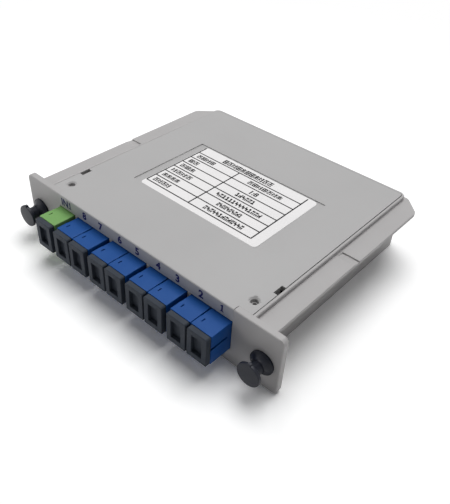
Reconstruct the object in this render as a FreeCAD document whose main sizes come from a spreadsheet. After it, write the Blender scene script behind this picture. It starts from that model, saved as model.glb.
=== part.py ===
import FreeCAD, Part
import math
import os
import re
import Sketcher

# Cassette splitter for optical fibre: one port in, eight ports out.
# Row frame in mm: X across the front (0 at mid-width), Y = 0 on the rear face of the
# ears and growing to the rear, Z up from the underside of the tray.

doc = FreeCAD.newDocument("splitter_cassette")
V = FreeCAD.Vector

# ---------------------------------------------------------------- sizes
SIZES = [
    # tray and front panel
    ("ear_width", 13.0), ("panel_depth", 2.5), ("panel_corner", 2.0),
    ("side_room", 7.4), ("case_length", 97.5), ("case_height", 25.0),
    ("wall_depth", 2.0), ("floor_depth", 2.0), ("case_corner", 3.0),
    ("rim_width", 1.0), ("rim_corner", 2.0), ("edge_bevel", 0.3), ("fit_gap", 0.05),
    ("head_room", 0.5), ("root_lap", 0.5),
    # lid
    ("cover_depth", 2.0), ("seam_gap", 0.1), ("seam_play", 0.08), ("lip_margin", 0.4),
    ("boss_room", 2.4), ("boss_back", 5.5), ("boss_size", 4.6), ("pilot_size", 1.6),
    ("pilot_reach", 10.0), ("screw_hole", 2.8), ("screw_sink", 0.8),
    ("snap_back", 12.6), ("snap_length", 4.6), ("snap_width", 2.0), ("snap_drop", 5.8),
    ("snap_depth", 1.0), ("snap_slack", 0.3), ("barb_rise", 2.0), ("barb_flank", 1.4),
    ("hook_span", 60.0), ("hook_width", 8.0), ("hook_drop", 2.5), ("hook_grip", 0.8),
    ("hook_depth", 1.2), ("hook_slack", 0.2),
    # label
    ("recess_width", 66.3), ("recess_shift", -0.35), ("recess_start", 26.1),
    ("recess_length", 40.6), ("recess_drop", 0.5), ("label_depth", 0.1), ("label_corner", 2.0),
    ("margin_left", 3.3), ("margin_right", 3.0), ("margin_front", 0.1), ("margin_back", 0.5),
    # side rails
    ("rail_reach_front", 7.8), ("rail_reach_back", 8.0), ("rail_depth", 1.5), ("rail_drop", 1.6),
    ("rail_step", 48.6), ("rail_slant", 7.0), ("rail_corner", 3.0),
    ("notch_run", 3.6), ("notch_drop", 0.6), ("notch_start", 0.8),
    # ports
    ("port_axis", 12.9), ("pair_gap", 0.15), ("group_gap", 2.0),
    ("body_width", 8.8), ("body_height", 12.8), ("body_reach", 9.4),
    ("body_length", 27.4), ("body_chamfer", 0.2), ("nose_length", 4.7), ("nose_extra", 0.35),
    ("mouth_width", 7.5), ("mouth_height", 9.1), ("key_width", 2.2), ("key_rise", 1.05),
    ("collar_depth", 1.8), ("collar_rise", 0.8), ("rib_depth", 2.0), ("rib_bridge", 1.0),
    ("dash_width", 0.5), ("dash_length", 1.7), ("dash_inset", 1.5), ("dash_back", 2.8),
    ("dash_drop", 0.5), ("slot_length", 7.6), ("slot_height", 0.9), ("slot_rise", 0.6),
    ("window_gap", 0.25),
    # inserts inside the adapters
    ("holder_depth", 3.0), ("tube_size", 4.6), ("tube_bore", 2.54), ("tube_length", 16.0),
    ("arm_width", 2.6), ("arm_depth", 0.8), ("arm_inner", 3.35), ("arm_length", 19.0),
    ("ferrule_size", 2.5), ("ferrule_length", 10.5), ("flange_size", 4.3), ("flange_length", 3.2),
    # inner connectors
    ("grip_width", 7.3), ("grip_height", 8.9), ("grip_start", 4.6), ("grip_length", 25.0),
    ("grip_bore", 5.0), ("window_width", 3.0), ("window_start", 3.2), ("window_length", 7.8),
    ("key_length", 9.0), ("key_slack", 0.1),
    ("boot_size", 4.8), ("boot_tail", 3.0), ("boot_hold", 5.0),
    ("boot_length", 11.4), ("fibre_size", 0.8), ("fibre_slack", 0.1),
    # dust caps
    ("cap_width", 8.6), ("cap_drop", 5.8), ("cap_depth", 2.1),
    ("cap_gap", 0.25), ("cap_corner", 0.5), ("cap_edge", 0.15),
    ("well_width", 4.5), ("well_low", 3.5), ("well_high", 4.2), ("well_drop", 1.6),
    ("stem_size", 6.4), ("stem_bore", 5.0), ("stem_length", 7.0),
    # latches
    ("latch_shift", 0.3), ("latch_height", 11.0), ("barrel_size", 6.2), ("barrel_gap", 0.1),
    ("barrel_length", 6.0),
    ("washer_size", 9.25), ("washer_depth", 0.8), ("flare_root", 8.2), ("flare_wall", 0.4),
    ("flare_rise", 2.4),
    ("slit_width", 0.8), ("slit_start", 1.0),
    ("pin_size", 5.0), ("pin_gap", 0.1), ("pin_end", 5.5), ("head_size", 9.1),
    ("head_depth", 1.3), ("head_reach", 7.5), ("lug_width", 1.2), ("lug_rise", 0.5),
    # splitter module, ribbon and fan-out
    ("module_start", 43.0), ("module_length", 40.0), ("module_size", 4.0), ("module_skin", 0.3),
    ("plug_length", 3.0), ("chip_width", 2.4), ("chip_height", 3.0), ("chip_length", 12.0),
    ("array_length", 4.0), ("cradle_depth", 2.0), ("cradle_wall", 2.0), ("cradle_rise", 2.6),
    ("cradle_inset", 6.0),
    ("ribbon_depth", 0.4), ("ribbon_height", 2.2), ("ribbon_bend", 11.0), ("ribbon_slack", 0.1),
    ("fan_width", 9.5), ("fan_height", 3.0), ("fan_length", 10.0),
    ("fan_entry", 3.0), ("fan_pitch", 1.0), ("fan_bend", 10.0),
]
sheet = doc.addObject("Spreadsheet::Sheet", "Dim")
for row, (name, value) in enumerate(SIZES, 1):
    sheet.set("A%d" % row, name)
    sheet.set("B%d" % row, str(value))
    sheet.setAlias("B%d" % row, name)
doc.recompute()


def val(name):
    return float(sheet.get(name))


def ex(formula):
    """Formula of size names -> expression on the sheet."""
    return re.sub(r"[a-z]+_[a-z_]+", lambda m: "Dim." + m.group(0), str(formula))


# Where the ports stand: one alone, then four pairs.
def port_x(index):
    gaps = (index + 1) // 2
    pairs = index // 2
    return "(%d * (body_width + group_gap) + %d * (body_width + nose_extra + pair_gap))" % (
        gaps - 2, pairs - 2)


PORTS = ["in", "8", "7", "6", "5", "4", "3", "2", "1"]
GROUPS = [(0, 0), (1, 2), (3, 4), (5, 6), (7, 8)]

# The case takes its width from the row of ports, and the ears stand out from the case.
ROW_END = "(%s + body_width / 2)" % port_x(8)
HALF_CASE = "(%s + side_room)" % ROW_END
HALF_PANEL = "(%s + ear_width)" % HALF_CASE
HALF_SEAT = "(%s - rim_width)" % HALF_CASE
HALF_LIP = "(%s + lip_margin)" % ROW_END
BOSS_X = "(%s + boss_room)" % ROW_END
LATCH_X = "(%s + ear_width / 2 - latch_shift)" % HALF_CASE
COVER_UNDER = "(case_height - cover_depth)"
RAIL_TOP = "(case_height - rail_drop)"
BODY_UNDER = "(port_axis - body_height / 2)"
BODY_TOP = "(port_axis + body_height / 2)"
SIDES = (("right", ""), ("left", "-1 * "))


# ---------------------------------------------------------------- building helpers
def make_body(label, x="0", z="0"):
    body = doc.addObject("PartDesign::Body", label)
    body.Label = label
    body.setExpression("Placement.Base.x", ex(x))
    body.setExpression("Placement.Base.z", ex(z))
    return body


def make_sketch(body, role, at):
    sketch = body.newObject("Sketcher::SketchObject", body.Name + "_sketch")
    plane = [o for o in body.Origin.OriginFeatures if o.Role == role][0]
    sketch.AttachmentSupport = (plane, "")
    sketch.MapMode = "FlatFace"
    sketch.setExpression("AttachmentOffset.Base.z", ex(at))
    return sketch


def polygon(sketch, points):
    """Closed outline through points given as pairs of formulas."""
    first = sketch.GeometryCount
    count = len(points)
    spots = []
    for i in range(count):
        turn = 2 * math.pi * i / count
        spots.append(V(10 * math.cos(turn), 10 * math.sin(turn), 0))
    for i in range(count):
        sketch.addGeometry(Part.LineSegment(spots[i], spots[(i + 1) % count]))
    for i in range(count):
        sketch.addConstraint(Sketcher.Constraint(
            "Coincident", first + i, 2, first + (i + 1) % count, 1))
    for i, point in enumerate(points):
        for kind, formula, start in (("DistanceX", point[0], spots[i].x),
                                     ("DistanceY", point[1], spots[i].y)):
            index = sketch.addConstraint(Sketcher.Constraint(kind, -1, 1, first + i, 1, start))
            sketch.setExpression("Constraints[%d]" % index, ex(formula))


def rectangle(sketch, x0, x1, y0, y1):
    polygon(sketch, [(x0, y0), (x1, y0), (x1, y1), (x0, y1)])


def regular(sketch, sides, size):
    """Regular outline about the origin, size measured across the flats."""
    reach = "%s / 2 / %.9f" % (size, math.cos(math.pi / sides))
    points = []
    for i in range(sides):
        angle = 2 * math.pi * (i + 0.5) / sides
        points.append(("%s * %.9f" % (reach, math.cos(angle)),
                       "%s * %.9f" % (reach, math.sin(angle))))
    polygon(sketch, points)


def circle(sketch, x, y, size):
    index = sketch.addGeometry(Part.Circle(V(0, 0, 0), V(0, 0, 1), 1.0))
    for kind, formula in (("DistanceX", x), ("DistanceY", y)):
        c = sketch.addConstraint(Sketcher.Constraint(kind, -1, 1, index, 3, 0.5))
        sketch.setExpression("Constraints[%d]" % c, ex(formula))
    c = sketch.addConstraint(Sketcher.Constraint("Diameter", index, 2.0))
    sketch.setExpression("Constraints[%d]" % c, ex(size))


def feature(body, kind, name, sketch, length):
    made = body.newObject("PartDesign::" + kind, body.Name + "_" + name)
    made.Profile = sketch
    made.setExpression("Length", ex(length))
    sketch.Visibility = False
    return made


# The normal of XY points up, that of YZ to +X and that of XZ to the front (-Y).
# A pad grows along the normal; a pocket cuts against it.
def at_y(y):
    return "-(%s)" % y


def edges_at(made, test):
    """Names of the edges whose bounding box passes the test."""
    names = []
    for i, edge in enumerate(made.Shape.Edges, 1):
        if test(edge.BoundBox):
            names.append("Edge%d" % i)
    return names


TOUCH = 1e-4


def near(a, b):
    return abs(a - b) < TOUCH


def dress(body, kind, name, size, test):
    """Fillet or chamfer on the edges of the tip that pass the test."""
    doc.recompute()
    tip = body.Tip
    made = body.newObject("PartDesign::" + kind, body.Name + "_" + name)
    made.Base = (tip, edges_at(tip, test))
    made.setExpression("Radius" if kind == "Fillet" else "Size", ex(size))
    return made


def upright(x, y):
    """Vertical edge at x, y."""
    return lambda b: (near(b.XMin, x) and near(b.XMax, x) and near(b.YMin, y)
                      and near(b.YMax, y) and not near(b.ZLength, 0))


def join_group(label, parts):
    group = doc.addObject("Part::Compound", label)
    group.Label = label
    group.Links = parts
    return group


# ---------------------------------------------------------------- tray
# One moulding: floor, walls, front panel with ears, rails, retaining rib and bosses.
tray = make_body("base_tray")

sk = make_sketch(tray, "XY_Plane", "0")
rectangle(sk, "-" + HALF_CASE, HALF_CASE, "-panel_depth", "case_length")
feature(tray, "Pad", "block", sk, "case_height")
doc.recompute()
half_case = tray.Shape.BoundBox.XMax
rear = val("case_length")
dress(tray, "Fillet", "case_corners", "case_corner",
      lambda b: upright(half_case, rear)(b) or upright(-half_case, rear)(b))

sk = make_sketch(tray, "XZ_Plane", "0")
rectangle(sk, "-" + HALF_PANEL, HALF_PANEL, "0", "case_height")
feature(tray, "Pad", "panel", sk, "panel_depth")
doc.recompute()
half_panel = tray.Shape.BoundBox.XMax
dress(tray, "Fillet", "panel_corners", "panel_corner",
      lambda b: near(abs(b.Center.x), half_panel) and near(b.XLength, 0)
      and near(b.ZLength, 0) and b.YLength > val("panel_depth") / 2)

sk = make_sketch(tray, "XY_Plane", "case_height")
rectangle(sk, "-%s + wall_depth" % HALF_CASE, HALF_CASE + " - wall_depth",
          "0", "case_length - wall_depth")
feature(tray, "Pocket", "cavity", sk, "case_height - floor_depth")

sk = make_sketch(tray, "XY_Plane", "case_height")
rectangle(sk, "-" + HALF_SEAT, HALF_SEAT, "0", "case_length - rim_width")
feature(tray, "Pocket", "cover_seat", sk, "cover_depth")
half_seat = half_case - val("rim_width")
seat_rear = rear - val("rim_width")
dress(tray, "Fillet", "seat_corners", "rim_corner",
      lambda b: upright(half_seat, seat_rear)(b) or upright(-half_seat, seat_rear)(b))

# rim and panel edges broken where hands meet them
top = val("case_height")
panel_front = -val("panel_depth")


def rim_edge(b):
    outside = b.YMax > rear - TOUCH or near(abs(b.Center.x), half_case)
    return near(b.ZMin, top) and near(b.ZMax, top) and outside and b.YMin > -TOUCH


dress(tray, "Chamfer", "rim_bevel", "edge_bevel", rim_edge)
dress(tray, "Chamfer", "panel_bevel", "edge_bevel",
      lambda b: near(b.YMin, panel_front) and near(b.YMax, panel_front))

# lip seat above the ports, then the port openings themselves
sk = make_sketch(tray, "XZ_Plane", at_y("-panel_depth"))
rectangle(sk, "-" + HALF_LIP, HALF_LIP, BODY_TOP, "case_height + head_room")
feature(tray, "Pocket", "lip_seat", sk, "panel_depth")


def port_openings(sketch, gap, low, high):
    for first, last in GROUPS:
        rectangle(sketch, "%s - body_width / 2 - %s" % (port_x(first), gap),
                  "%s + body_width / 2 + %s" % (port_x(last), gap), low, high)


sk = make_sketch(tray, "XZ_Plane", at_y("-panel_depth"))
port_openings(sk, "window_gap", BODY_UNDER + " - window_gap", BODY_TOP + " + head_room")
feature(tray, "Pocket", "port_openings", sk, "panel_depth")

# rib that holds the collars of the adapters against the panel
sk = make_sketch(tray, "XZ_Plane", at_y("collar_depth + 2 * fit_gap + rib_depth"))
rectangle(sk, "-%s + wall_depth / 2" % HALF_CASE, HALF_CASE + " - wall_depth / 2",
          "floor_depth / 2", COVER_UNDER + " - seam_gap")
port_openings(sk, "fit_gap", BODY_UNDER + " - fit_gap", COVER_UNDER + " - rib_bridge")
feature(tray, "Pad", "rib", sk, "rib_depth")
sk = make_sketch(tray, "XZ_Plane", at_y("collar_depth + 2 * fit_gap"))
port_openings(sk, "fit_gap", COVER_UNDER + " - 1.5 * rib_bridge", COVER_UNDER)
feature(tray, "Pocket", "rib_mouths", sk, "rib_depth")

# screw bosses with pilot holes
sk = make_sketch(tray, "XY_Plane", "floor_depth / 2")
for name, sign in SIDES:
    circle(sk, sign + BOSS_X, "boss_back", "boss_size")
feature(tray, "Pad", "bosses", sk, COVER_UNDER + " - floor_depth / 2")
sk = make_sketch(tray, "XY_Plane", COVER_UNDER)
for name, sign in SIDES:
    circle(sk, sign + BOSS_X, "boss_back", "pilot_size")
feature(tray, "Pocket", "pilots", sk, "pilot_reach")

# side rails with a latching notch each
for name, sign in SIDES:
    sk = make_sketch(tray, "XY_Plane", RAIL_TOP + " - rail_depth")
    inner = sign + HALF_SEAT
    front = "%s(%s + rail_reach_front)" % (sign, HALF_CASE)
    back = "%s(%s + rail_reach_back)" % (sign, HALF_CASE)
    slant = "%s(%s + rail_reach_back - rail_slant)" % (sign, HALF_CASE)
    polygon(sk, [(inner, "0"), (front, "0"), (front, "rail_step"), (back, "rail_step"),
                 (back, "case_length - rail_slant"), (slant, "case_length"),
                 (inner, "case_length")])
    feature(tray, "Pad", "rail_" + name, sk, "rail_depth")
    spot = 1 if name == "right" else -1
    wide = spot * (half_case + val("rail_reach_back"))
    tip_x = wide - spot * val("rail_slant")
    dress(tray, "Fillet", "rail_corner_" + name, "rail_corner",
          lambda b: upright(wide, rear - val("rail_slant"))(b) or upright(tip_x, rear)(b))
    start = HALF_CASE + " + rail_reach_back + notch_start"
    if name == "left":
        start = "-%s - notch_start" % HALF_CASE
    sk = make_sketch(tray, "YZ_Plane", start)
    ridge = RAIL_TOP + " + head_room"
    polygon(sk, [("rail_step - notch_run", RAIL_TOP), ("rail_step", RAIL_TOP + " - notch_drop"),
                 ("rail_step", ridge), ("rail_step - notch_run", ridge)])
    feature(tray, "Pocket", "notch_" + name, sk, "rail_reach_back")

# catches for the snap tongues: a window in each wall, open above to the seat
for name, start in (("right", HALF_SEAT), ("left", "-%s + wall_depth" % HALF_CASE)):
    sk = make_sketch(tray, "YZ_Plane", start)
    rectangle(sk, "snap_back", "snap_back + snap_length",
              COVER_UNDER + " - snap_drop - snap_slack",
              COVER_UNDER + " - snap_drop + barb_rise + snap_slack")
    rectangle(sk, "snap_back", "snap_back + snap_length",
              COVER_UNDER + " - barb_rise", COVER_UNDER + " + head_room")
    feature(tray, "Pocket", "catch_" + name, sk, "wall_depth - rim_width")

# slots in the rear wall for the hooks of the lid
sk = make_sketch(tray, "XZ_Plane", at_y("case_length - wall_depth"))
for name, sign in SIDES:
    middle = sign + "hook_span / 2"
    half_slot = "(hook_width / 2 + hook_slack)"
    rectangle(sk, middle + " - " + half_slot, middle + " + " + half_slot,
              COVER_UNDER + " - hook_drop - hook_slack",
              COVER_UNDER + " - hook_drop + hook_depth + hook_slack")
feature(tray, "Pocket", "hook_slots", sk, "hook_grip + hook_slack")

# cradles that carry the splitter module and the fan-out block at port height
MODULE_X = port_x(0)
MODULE_END = "(module_start + module_length)"
FAN_X = "((%s + %s) / 2)" % (port_x(1), port_x(8))
FAN_START = "(%s - fan_length)" % MODULE_END


def cradle(name, middle, held, seat, y):
    """Two-walled seat across Y for a block of the width held."""
    sk = make_sketch(tray, "XZ_Plane", at_y(y + " + cradle_depth"))
    slot = "(%s / 2 + fit_gap)" % held
    left, right = middle + " - %s - cradle_wall" % slot, middle + " + %s + cradle_wall" % slot
    crest = seat + " + cradle_rise"
    polygon(sk, [(left, "floor_depth / 2"), (right, "floor_depth / 2"), (right, crest),
                 (middle + " + " + slot, crest), (middle + " + " + slot, seat),
                 (middle + " - " + slot, seat), (middle + " - " + slot, crest), (left, crest)])
    feature(tray, "Pad", name, sk, "cradle_depth")


MODULE_SEAT = "port_axis - module_size / 2"
cradle("cradle_front", MODULE_X, "module_size", MODULE_SEAT, "module_start + cradle_inset")
cradle("cradle_rear", MODULE_X, "module_size", MODULE_SEAT,
       MODULE_END + " - cradle_inset - cradle_depth")
cradle("cradle_fan", FAN_X, "fan_width", "port_axis - fan_height / 2",
       MODULE_END + " - fan_length / 2 - cradle_depth / 2")

# ear holes
sk = make_sketch(tray, "XZ_Plane", at_y("-panel_depth"))
for name, sign in SIDES:
    circle(sk, sign + LATCH_X, "latch_height", "barrel_size + barrel_gap")
feature(tray, "Pocket", "ear_holes", sk, "panel_depth")

# ---------------------------------------------------------------- lid
# Flat lid let in flush with the rim; its front lip drops in over the adapters.
# It lies against the left rim and the panel, with the play of the fit at the right.
lid = make_body("top_cover", "-seam_play")
sk = make_sketch(lid, "XY_Plane", COVER_UNDER)
SIDE = "(%s - seam_gap)" % HALF_SEAT
LIP = "(%s - seam_gap)" % HALF_LIP
BACK = "case_length - rim_width - seam_gap"
FRONT = "seam_gap - seam_play"
polygon(sk, [("-" + LIP, "-panel_depth"), (LIP, "-panel_depth"), (LIP, FRONT),
             (SIDE, FRONT), (SIDE, BACK), ("-" + SIDE, BACK), ("-" + SIDE, FRONT),
             ("-" + LIP, FRONT)])
feature(lid, "Pad", "plate", sk, "cover_depth")
lid_side = half_seat - val("seam_gap")
lid_rear = seat_rear - val("seam_gap")
dress(lid, "Fillet", "lid_corners", "rim_corner - seam_gap",
      lambda b: upright(lid_side, lid_rear)(b) or upright(-lid_side, lid_rear)(b))
sk = make_sketch(lid, "XZ_Plane", "0")
rectangle(sk, "-" + LIP, LIP, BODY_TOP + " + window_gap", "case_height - cover_depth / 2")
feature(lid, "Pad", "lip", sk, "panel_depth")
dress(lid, "Chamfer", "lip_bevel", "edge_bevel",
      lambda b: near(b.YMin, panel_front) and near(b.YMax, panel_front) and near(b.ZMin, top))

sk = make_sketch(lid, "XY_Plane", "case_height")
rectangle(sk, "recess_shift - recess_width / 2", "recess_shift + recess_width / 2",
          "recess_start", "recess_start + recess_length")
feature(lid, "Pocket", "label_recess", sk, "recess_drop")

sk = make_sketch(lid, "XY_Plane", "case_height")
for name, sign in SIDES:
    circle(sk, sign + BOSS_X, "boss_back", "screw_hole")
feature(lid, "Pocket", "screw_holes", sk, "cover_depth")
dress(lid, "Chamfer", "sinks", "screw_sink",
      lambda b: near(b.ZMin, top) and near(b.ZMax, top) and near(b.XLength, val("screw_hole"))
      and near(b.YLength, val("screw_hole")))

sk = make_sketch(lid, "XY_Plane", "case_height")
for name, sign in SIDES:
    rectangle(sk, "%s(%s - snap_width)" % (sign, HALF_SEAT), sign + HALF_CASE,
              "snap_back", "snap_back + snap_length")
feature(lid, "Pocket", "snap_slots", sk, "cover_depth")

sk = make_sketch(lid, "XZ_Plane", at_y("snap_back + snap_length - snap_slack"))
for name, sign in SIDES:
    root = "%s(%s - snap_width - snap_depth)" % (sign, HALF_SEAT)
    wall = "%s(%s - snap_width)" % (sign, HALF_SEAT)
    barb = "%s(%s - snap_slack)" % (sign, HALF_SEAT)
    tip = COVER_UNDER + " - snap_drop"
    polygon(sk, [(root, COVER_UNDER + " + root_lap"), (wall, COVER_UNDER + " + root_lap"),
                 (wall, tip + " + barb_rise"), (barb, tip + " + barb_rise"),
                 (barb, tip + " + barb_flank"), (wall, tip), (root, tip)])
feature(lid, "Pad", "snap_tongues", sk, "snap_length - 2 * snap_slack")

for name, sign in SIDES:
    sk = make_sketch(lid, "YZ_Plane", sign + "hook_span / 2 - hook_width / 2")
    face = "case_length - wall_depth - hook_slack"
    grip = face + " + hook_slack + hook_grip"
    tip = COVER_UNDER + " - hook_drop"
    polygon(sk, [(face + " - hook_depth", COVER_UNDER + " + root_lap"),
                 (face, COVER_UNDER + " + root_lap"), (face, tip + " + hook_depth"),
                 (grip, tip + " + hook_depth"), (grip, tip), (face + " - hook_depth", tip)])
    feature(lid, "Pad", "hook_" + name, sk, "hook_width")

# ---------------------------------------------------------------- label
label = make_body("label")
sk = make_sketch(label, "XY_Plane", "case_height - recess_drop")
rectangle(sk, "recess_shift - recess_width / 2 + margin_left",
          "recess_shift + recess_width / 2 - margin_right",
          "recess_start + margin_front", "recess_start + recess_length - margin_back")
feature(label, "Pad", "sheet", sk, "label_depth")
dress(label, "Fillet", "corners", "label_corner",
      lambda b: near(b.XLength, 0) and near(b.YLength, 0))

# ---------------------------------------------------------------- ports
BODY_FRONT = "-(panel_depth + body_reach)"
BODY_REAR = "(body_length - panel_depth - body_reach)"
HOLDER_FRONT = "(body_length / 2 - holder_depth / 2 - panel_depth - body_reach)"
CAP_REAR = "-(panel_depth + body_reach + cap_gap)"


def chamfered(sketch, left, right, half):
    cut = "body_chamfer"
    polygon(sketch, [(left + " + " + cut, "-" + half), (right + " - " + cut, "-" + half),
                     (right, "-" + half + " + " + cut), (right, half + " - " + cut),
                     (right + " - " + cut, half), (left + " + " + cut, half),
                     (left, half + " - " + cut), (left, "-" + half + " + " + cut)])


def make_adapter(label, x):
    """Body of one adapter: a square tube with a broad nose, a collar and a keyway."""
    b = make_body(label, x, "port_axis")
    sk = make_sketch(b, "XZ_Plane", at_y(BODY_REAR))
    chamfered(sk, "-body_width / 2", "body_width / 2", "body_height / 2")
    feature(b, "Pad", "block", sk, "body_length")
    sk = make_sketch(b, "XZ_Plane", at_y(BODY_FRONT + " + nose_length"))
    chamfered(sk, "-body_width / 2 - nose_extra", "body_width / 2", "body_height / 2")
    feature(b, "Pad", "nose", sk, "nose_length")
    sk = make_sketch(b, "XZ_Plane", at_y("fit_gap + collar_depth"))
    for low, high in (("body_height / 2 - root_lap", "body_height / 2 + collar_rise"),
                      ("-body_height / 2 - collar_rise", "-body_height / 2 + root_lap")):
        rectangle(sk, "-body_width / 2", "body_width / 2", low, high)
    feature(b, "Pad", "collar", sk, "collar_depth")
    sk = make_sketch(b, "XZ_Plane", at_y(BODY_FRONT))
    side, high = "mouth_width / 2", "mouth_height / 2"
    polygon(sk, [("-" + side, "-" + high), (side, "-" + high), (side, high),
                 ("key_width / 2", high), ("key_width / 2", high + " + key_rise"),
                 ("-key_width / 2", high + " + key_rise"), ("-key_width / 2", high),
                 ("-" + side, high)])
    feature(b, "Pocket", "mouth", sk, "body_length")
    sk = make_sketch(b, "XY_Plane", "body_height / 2")
    rectangle(sk, "-body_width / 2 + dash_inset", "-body_width / 2 + dash_inset + dash_width",
              BODY_FRONT + " + dash_back", BODY_FRONT + " + dash_back + dash_length")
    feature(b, "Pocket", "dash", sk, "dash_drop")
    sk = make_sketch(b, "YZ_Plane", "body_width / 2")
    rectangle(sk, BODY_FRONT, BODY_FRONT + " + slot_length",
              "slot_rise - slot_height / 2", "slot_rise + slot_height / 2")
    feature(b, "Pocket", "side_slots", sk, "body_width + nose_extra")
    return b


def make_holder(label, x):
    """Insert snapped into the middle of the adapter: plate, four latch arms, and the
    tube with its alignment sleeve, drawn as one."""
    b = make_body(label, x, "port_axis")
    sk = make_sketch(b, "XZ_Plane", at_y(HOLDER_FRONT + " + holder_depth"))
    rectangle(sk, "-mouth_width / 2 + fit_gap", "mouth_width / 2 - fit_gap",
              "-mouth_height / 2 + fit_gap", "mouth_height / 2 - fit_gap")
    feature(b, "Pad", "plate", sk, "holder_depth")
    middle = HOLDER_FRONT + " + holder_depth / 2"
    sk = make_sketch(b, "XZ_Plane", at_y(middle + " + tube_length / 2"))
    regular(sk, 8, "tube_size")
    feature(b, "Pad", "tube", sk, "tube_length")
    sk = make_sketch(b, "XZ_Plane", at_y(middle + " + arm_length / 2"))
    for side in (1, -1):
        rectangle(sk, "-arm_width / 2", "arm_width / 2",
                  "%d * arm_inner" % side, "%d * (arm_inner + arm_depth)" % side)
    feature(b, "Pad", "arms", sk, "arm_length")
    sk = make_sketch(b, "XZ_Plane", at_y(middle + " - tube_length / 2"))
    regular(sk, 12, "tube_bore")
    feature(b, "Pocket", "bore", sk, "tube_length")
    return b


def make_cap(label, x):
    """Dust cap: plate with clipped top corners and a finger well, and a square stem over the tube."""
    b = make_body(label, x, "port_axis")
    sk = make_sketch(b, "XZ_Plane", at_y(CAP_REAR))
    side, high = "cap_width / 2", "body_height / 2"
    polygon(sk, [("-" + side, "-cap_drop"), (side, "-cap_drop"), (side, high + " - cap_corner"),
                 (side + " - cap_corner", high), ("-%s + cap_corner" % side, high),
                 ("-" + side, high + " - cap_corner")])
    feature(b, "Pad", "plate", sk, "cap_depth")
    face = -(val("panel_depth") + val("body_reach") + val("cap_gap") + val("cap_depth"))
    dress(b, "Chamfer", "edge", "cap_edge",
          lambda e: near(e.YMin, face) and near(e.YMax, face))
    sk = make_sketch(b, "XZ_Plane", at_y(CAP_REAR + " - cap_depth"))
    rectangle(sk, "-well_width / 2", "well_width / 2", "-well_low", "well_high")
    feature(b, "Pocket", "well", sk, "well_drop")
    sk = make_sketch(b, "XZ_Plane", at_y(CAP_REAR + " + stem_length"))
    for size in ("stem_size", "stem_bore"):
        rectangle(sk, "-%s / 2" % size, "%s / 2" % size, "-%s / 2" % size, "%s / 2" % size)
    feature(b, "Pad", "stem", sk, "stem_length")
    return b


def make_grip(label, x):
    """Housing of one inner connector, windowed for the latch arms, keyed on top."""
    b = make_body(label, x, "port_axis")
    sk = make_sketch(b, "XZ_Plane", at_y("grip_start + grip_length"))
    rectangle(sk, "-grip_width / 2", "grip_width / 2", "-grip_height / 2", "grip_height / 2")
    rectangle(sk, "-grip_bore / 2", "grip_bore / 2", "-grip_bore / 2", "grip_bore / 2")
    feature(b, "Pad", "block", sk, "grip_length")
    sk = make_sketch(b, "XZ_Plane", at_y("grip_start + window_length + key_length"))
    rectangle(sk, "-key_width / 2 + key_slack", "key_width / 2 - key_slack",
              "grip_height / 2 - root_lap", "grip_height / 2 + key_rise - 2 * key_slack")
    feature(b, "Pad", "key", sk, "key_length")
    sk = make_sketch(b, "XZ_Plane", at_y("grip_start"))
    for side in (1, -1):
        rectangle(sk, "-window_width / 2", "window_width / 2",
                  "%d * window_start" % side, "%d * (grip_height / 2 + head_room)" % side)
    feature(b, "Pocket", "windows", sk, "window_length")
    return b


def make_boot(label, x):
    """Strain relief: a root held in the housing and a thinner tail."""
    b = make_body(label, x, "port_axis")
    sk = make_sketch(b, "XZ_Plane", at_y(BOOT_FACE))
    regular(sk, 8, "boot_size")
    feature(b, "Pad", "root", sk, "boot_hold")
    sk = make_sketch(b, "XZ_Plane", at_y(BOOT_FACE))
    regular(sk, 8, "boot_tail")
    feature(b, "Pad", "tail", sk, "boot_length").Reversed = True
    sk = make_sketch(b, "XZ_Plane", at_y(BOOT_FACE + " - boot_hold"))
    bore = "(fibre_size + fibre_slack) / 2"
    rectangle(sk, "-" + bore, bore, "-" + bore, bore)
    feature(b, "Pocket", "bore", sk, "boot_hold + boot_length")
    return b


def make_turned(label, x, z, profile):
    """Turned piece about Y from (radius, y) pairs of formulas."""
    b = make_body(label, x, z)
    sk = make_sketch(b, "XY_Plane", "0")
    polygon(sk, profile)
    made = b.newObject("PartDesign::Revolution", b.Name + "_turned")
    made.Profile = sk
    made.ReferenceAxis = (sk, ["V_Axis"])
    made.Angle = 360
    sk.Visibility = False
    return b


nodes = [tray, lid, label]
ferrules, flanges, boots = [], [], []
MIDDLE = HOLDER_FRONT + " + holder_depth / 2"
FERRULE_FRONT = MIDDLE + " + seam_gap"
FERRULE_REAR = FERRULE_FRONT + " + ferrule_length"
BOOT_FACE = "(grip_start + grip_length)"
for index, port in enumerate(PORTS):
    x = port_x(index)
    nodes.append(make_adapter("adapter_" + port, x))
    nodes.append(make_cap("cap_" + port, x))
    nodes.append(make_holder("sleeve_holder_" + port, x))
    nodes.append(make_grip("plug_grip_" + port, x))

    ferrule = make_body("ferrule_" + port, x, "port_axis")
    sk = make_sketch(ferrule, "XZ_Plane", at_y(FERRULE_REAR))
    circle(sk, "0", "0", "ferrule_size")
    feature(ferrule, "Pad", "rod", sk, "ferrule_length")
    ferrules.append(ferrule)

    flange = make_body("flange_" + port, x, "port_axis")
    sk = make_sketch(flange, "XZ_Plane", at_y(FERRULE_REAR + " + flange_length"))
    regular(sk, 6, "flange_size")
    feature(flange, "Pad", "hexagon", sk, "flange_length")
    flanges.append(flange)

    boots.append(make_boot("boot_" + port, x))

nodes.append(join_group("ferrules", ferrules))
nodes.append(join_group("ferrule_flanges", flanges))
nodes.append(join_group("plug_boots", boots))

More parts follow.
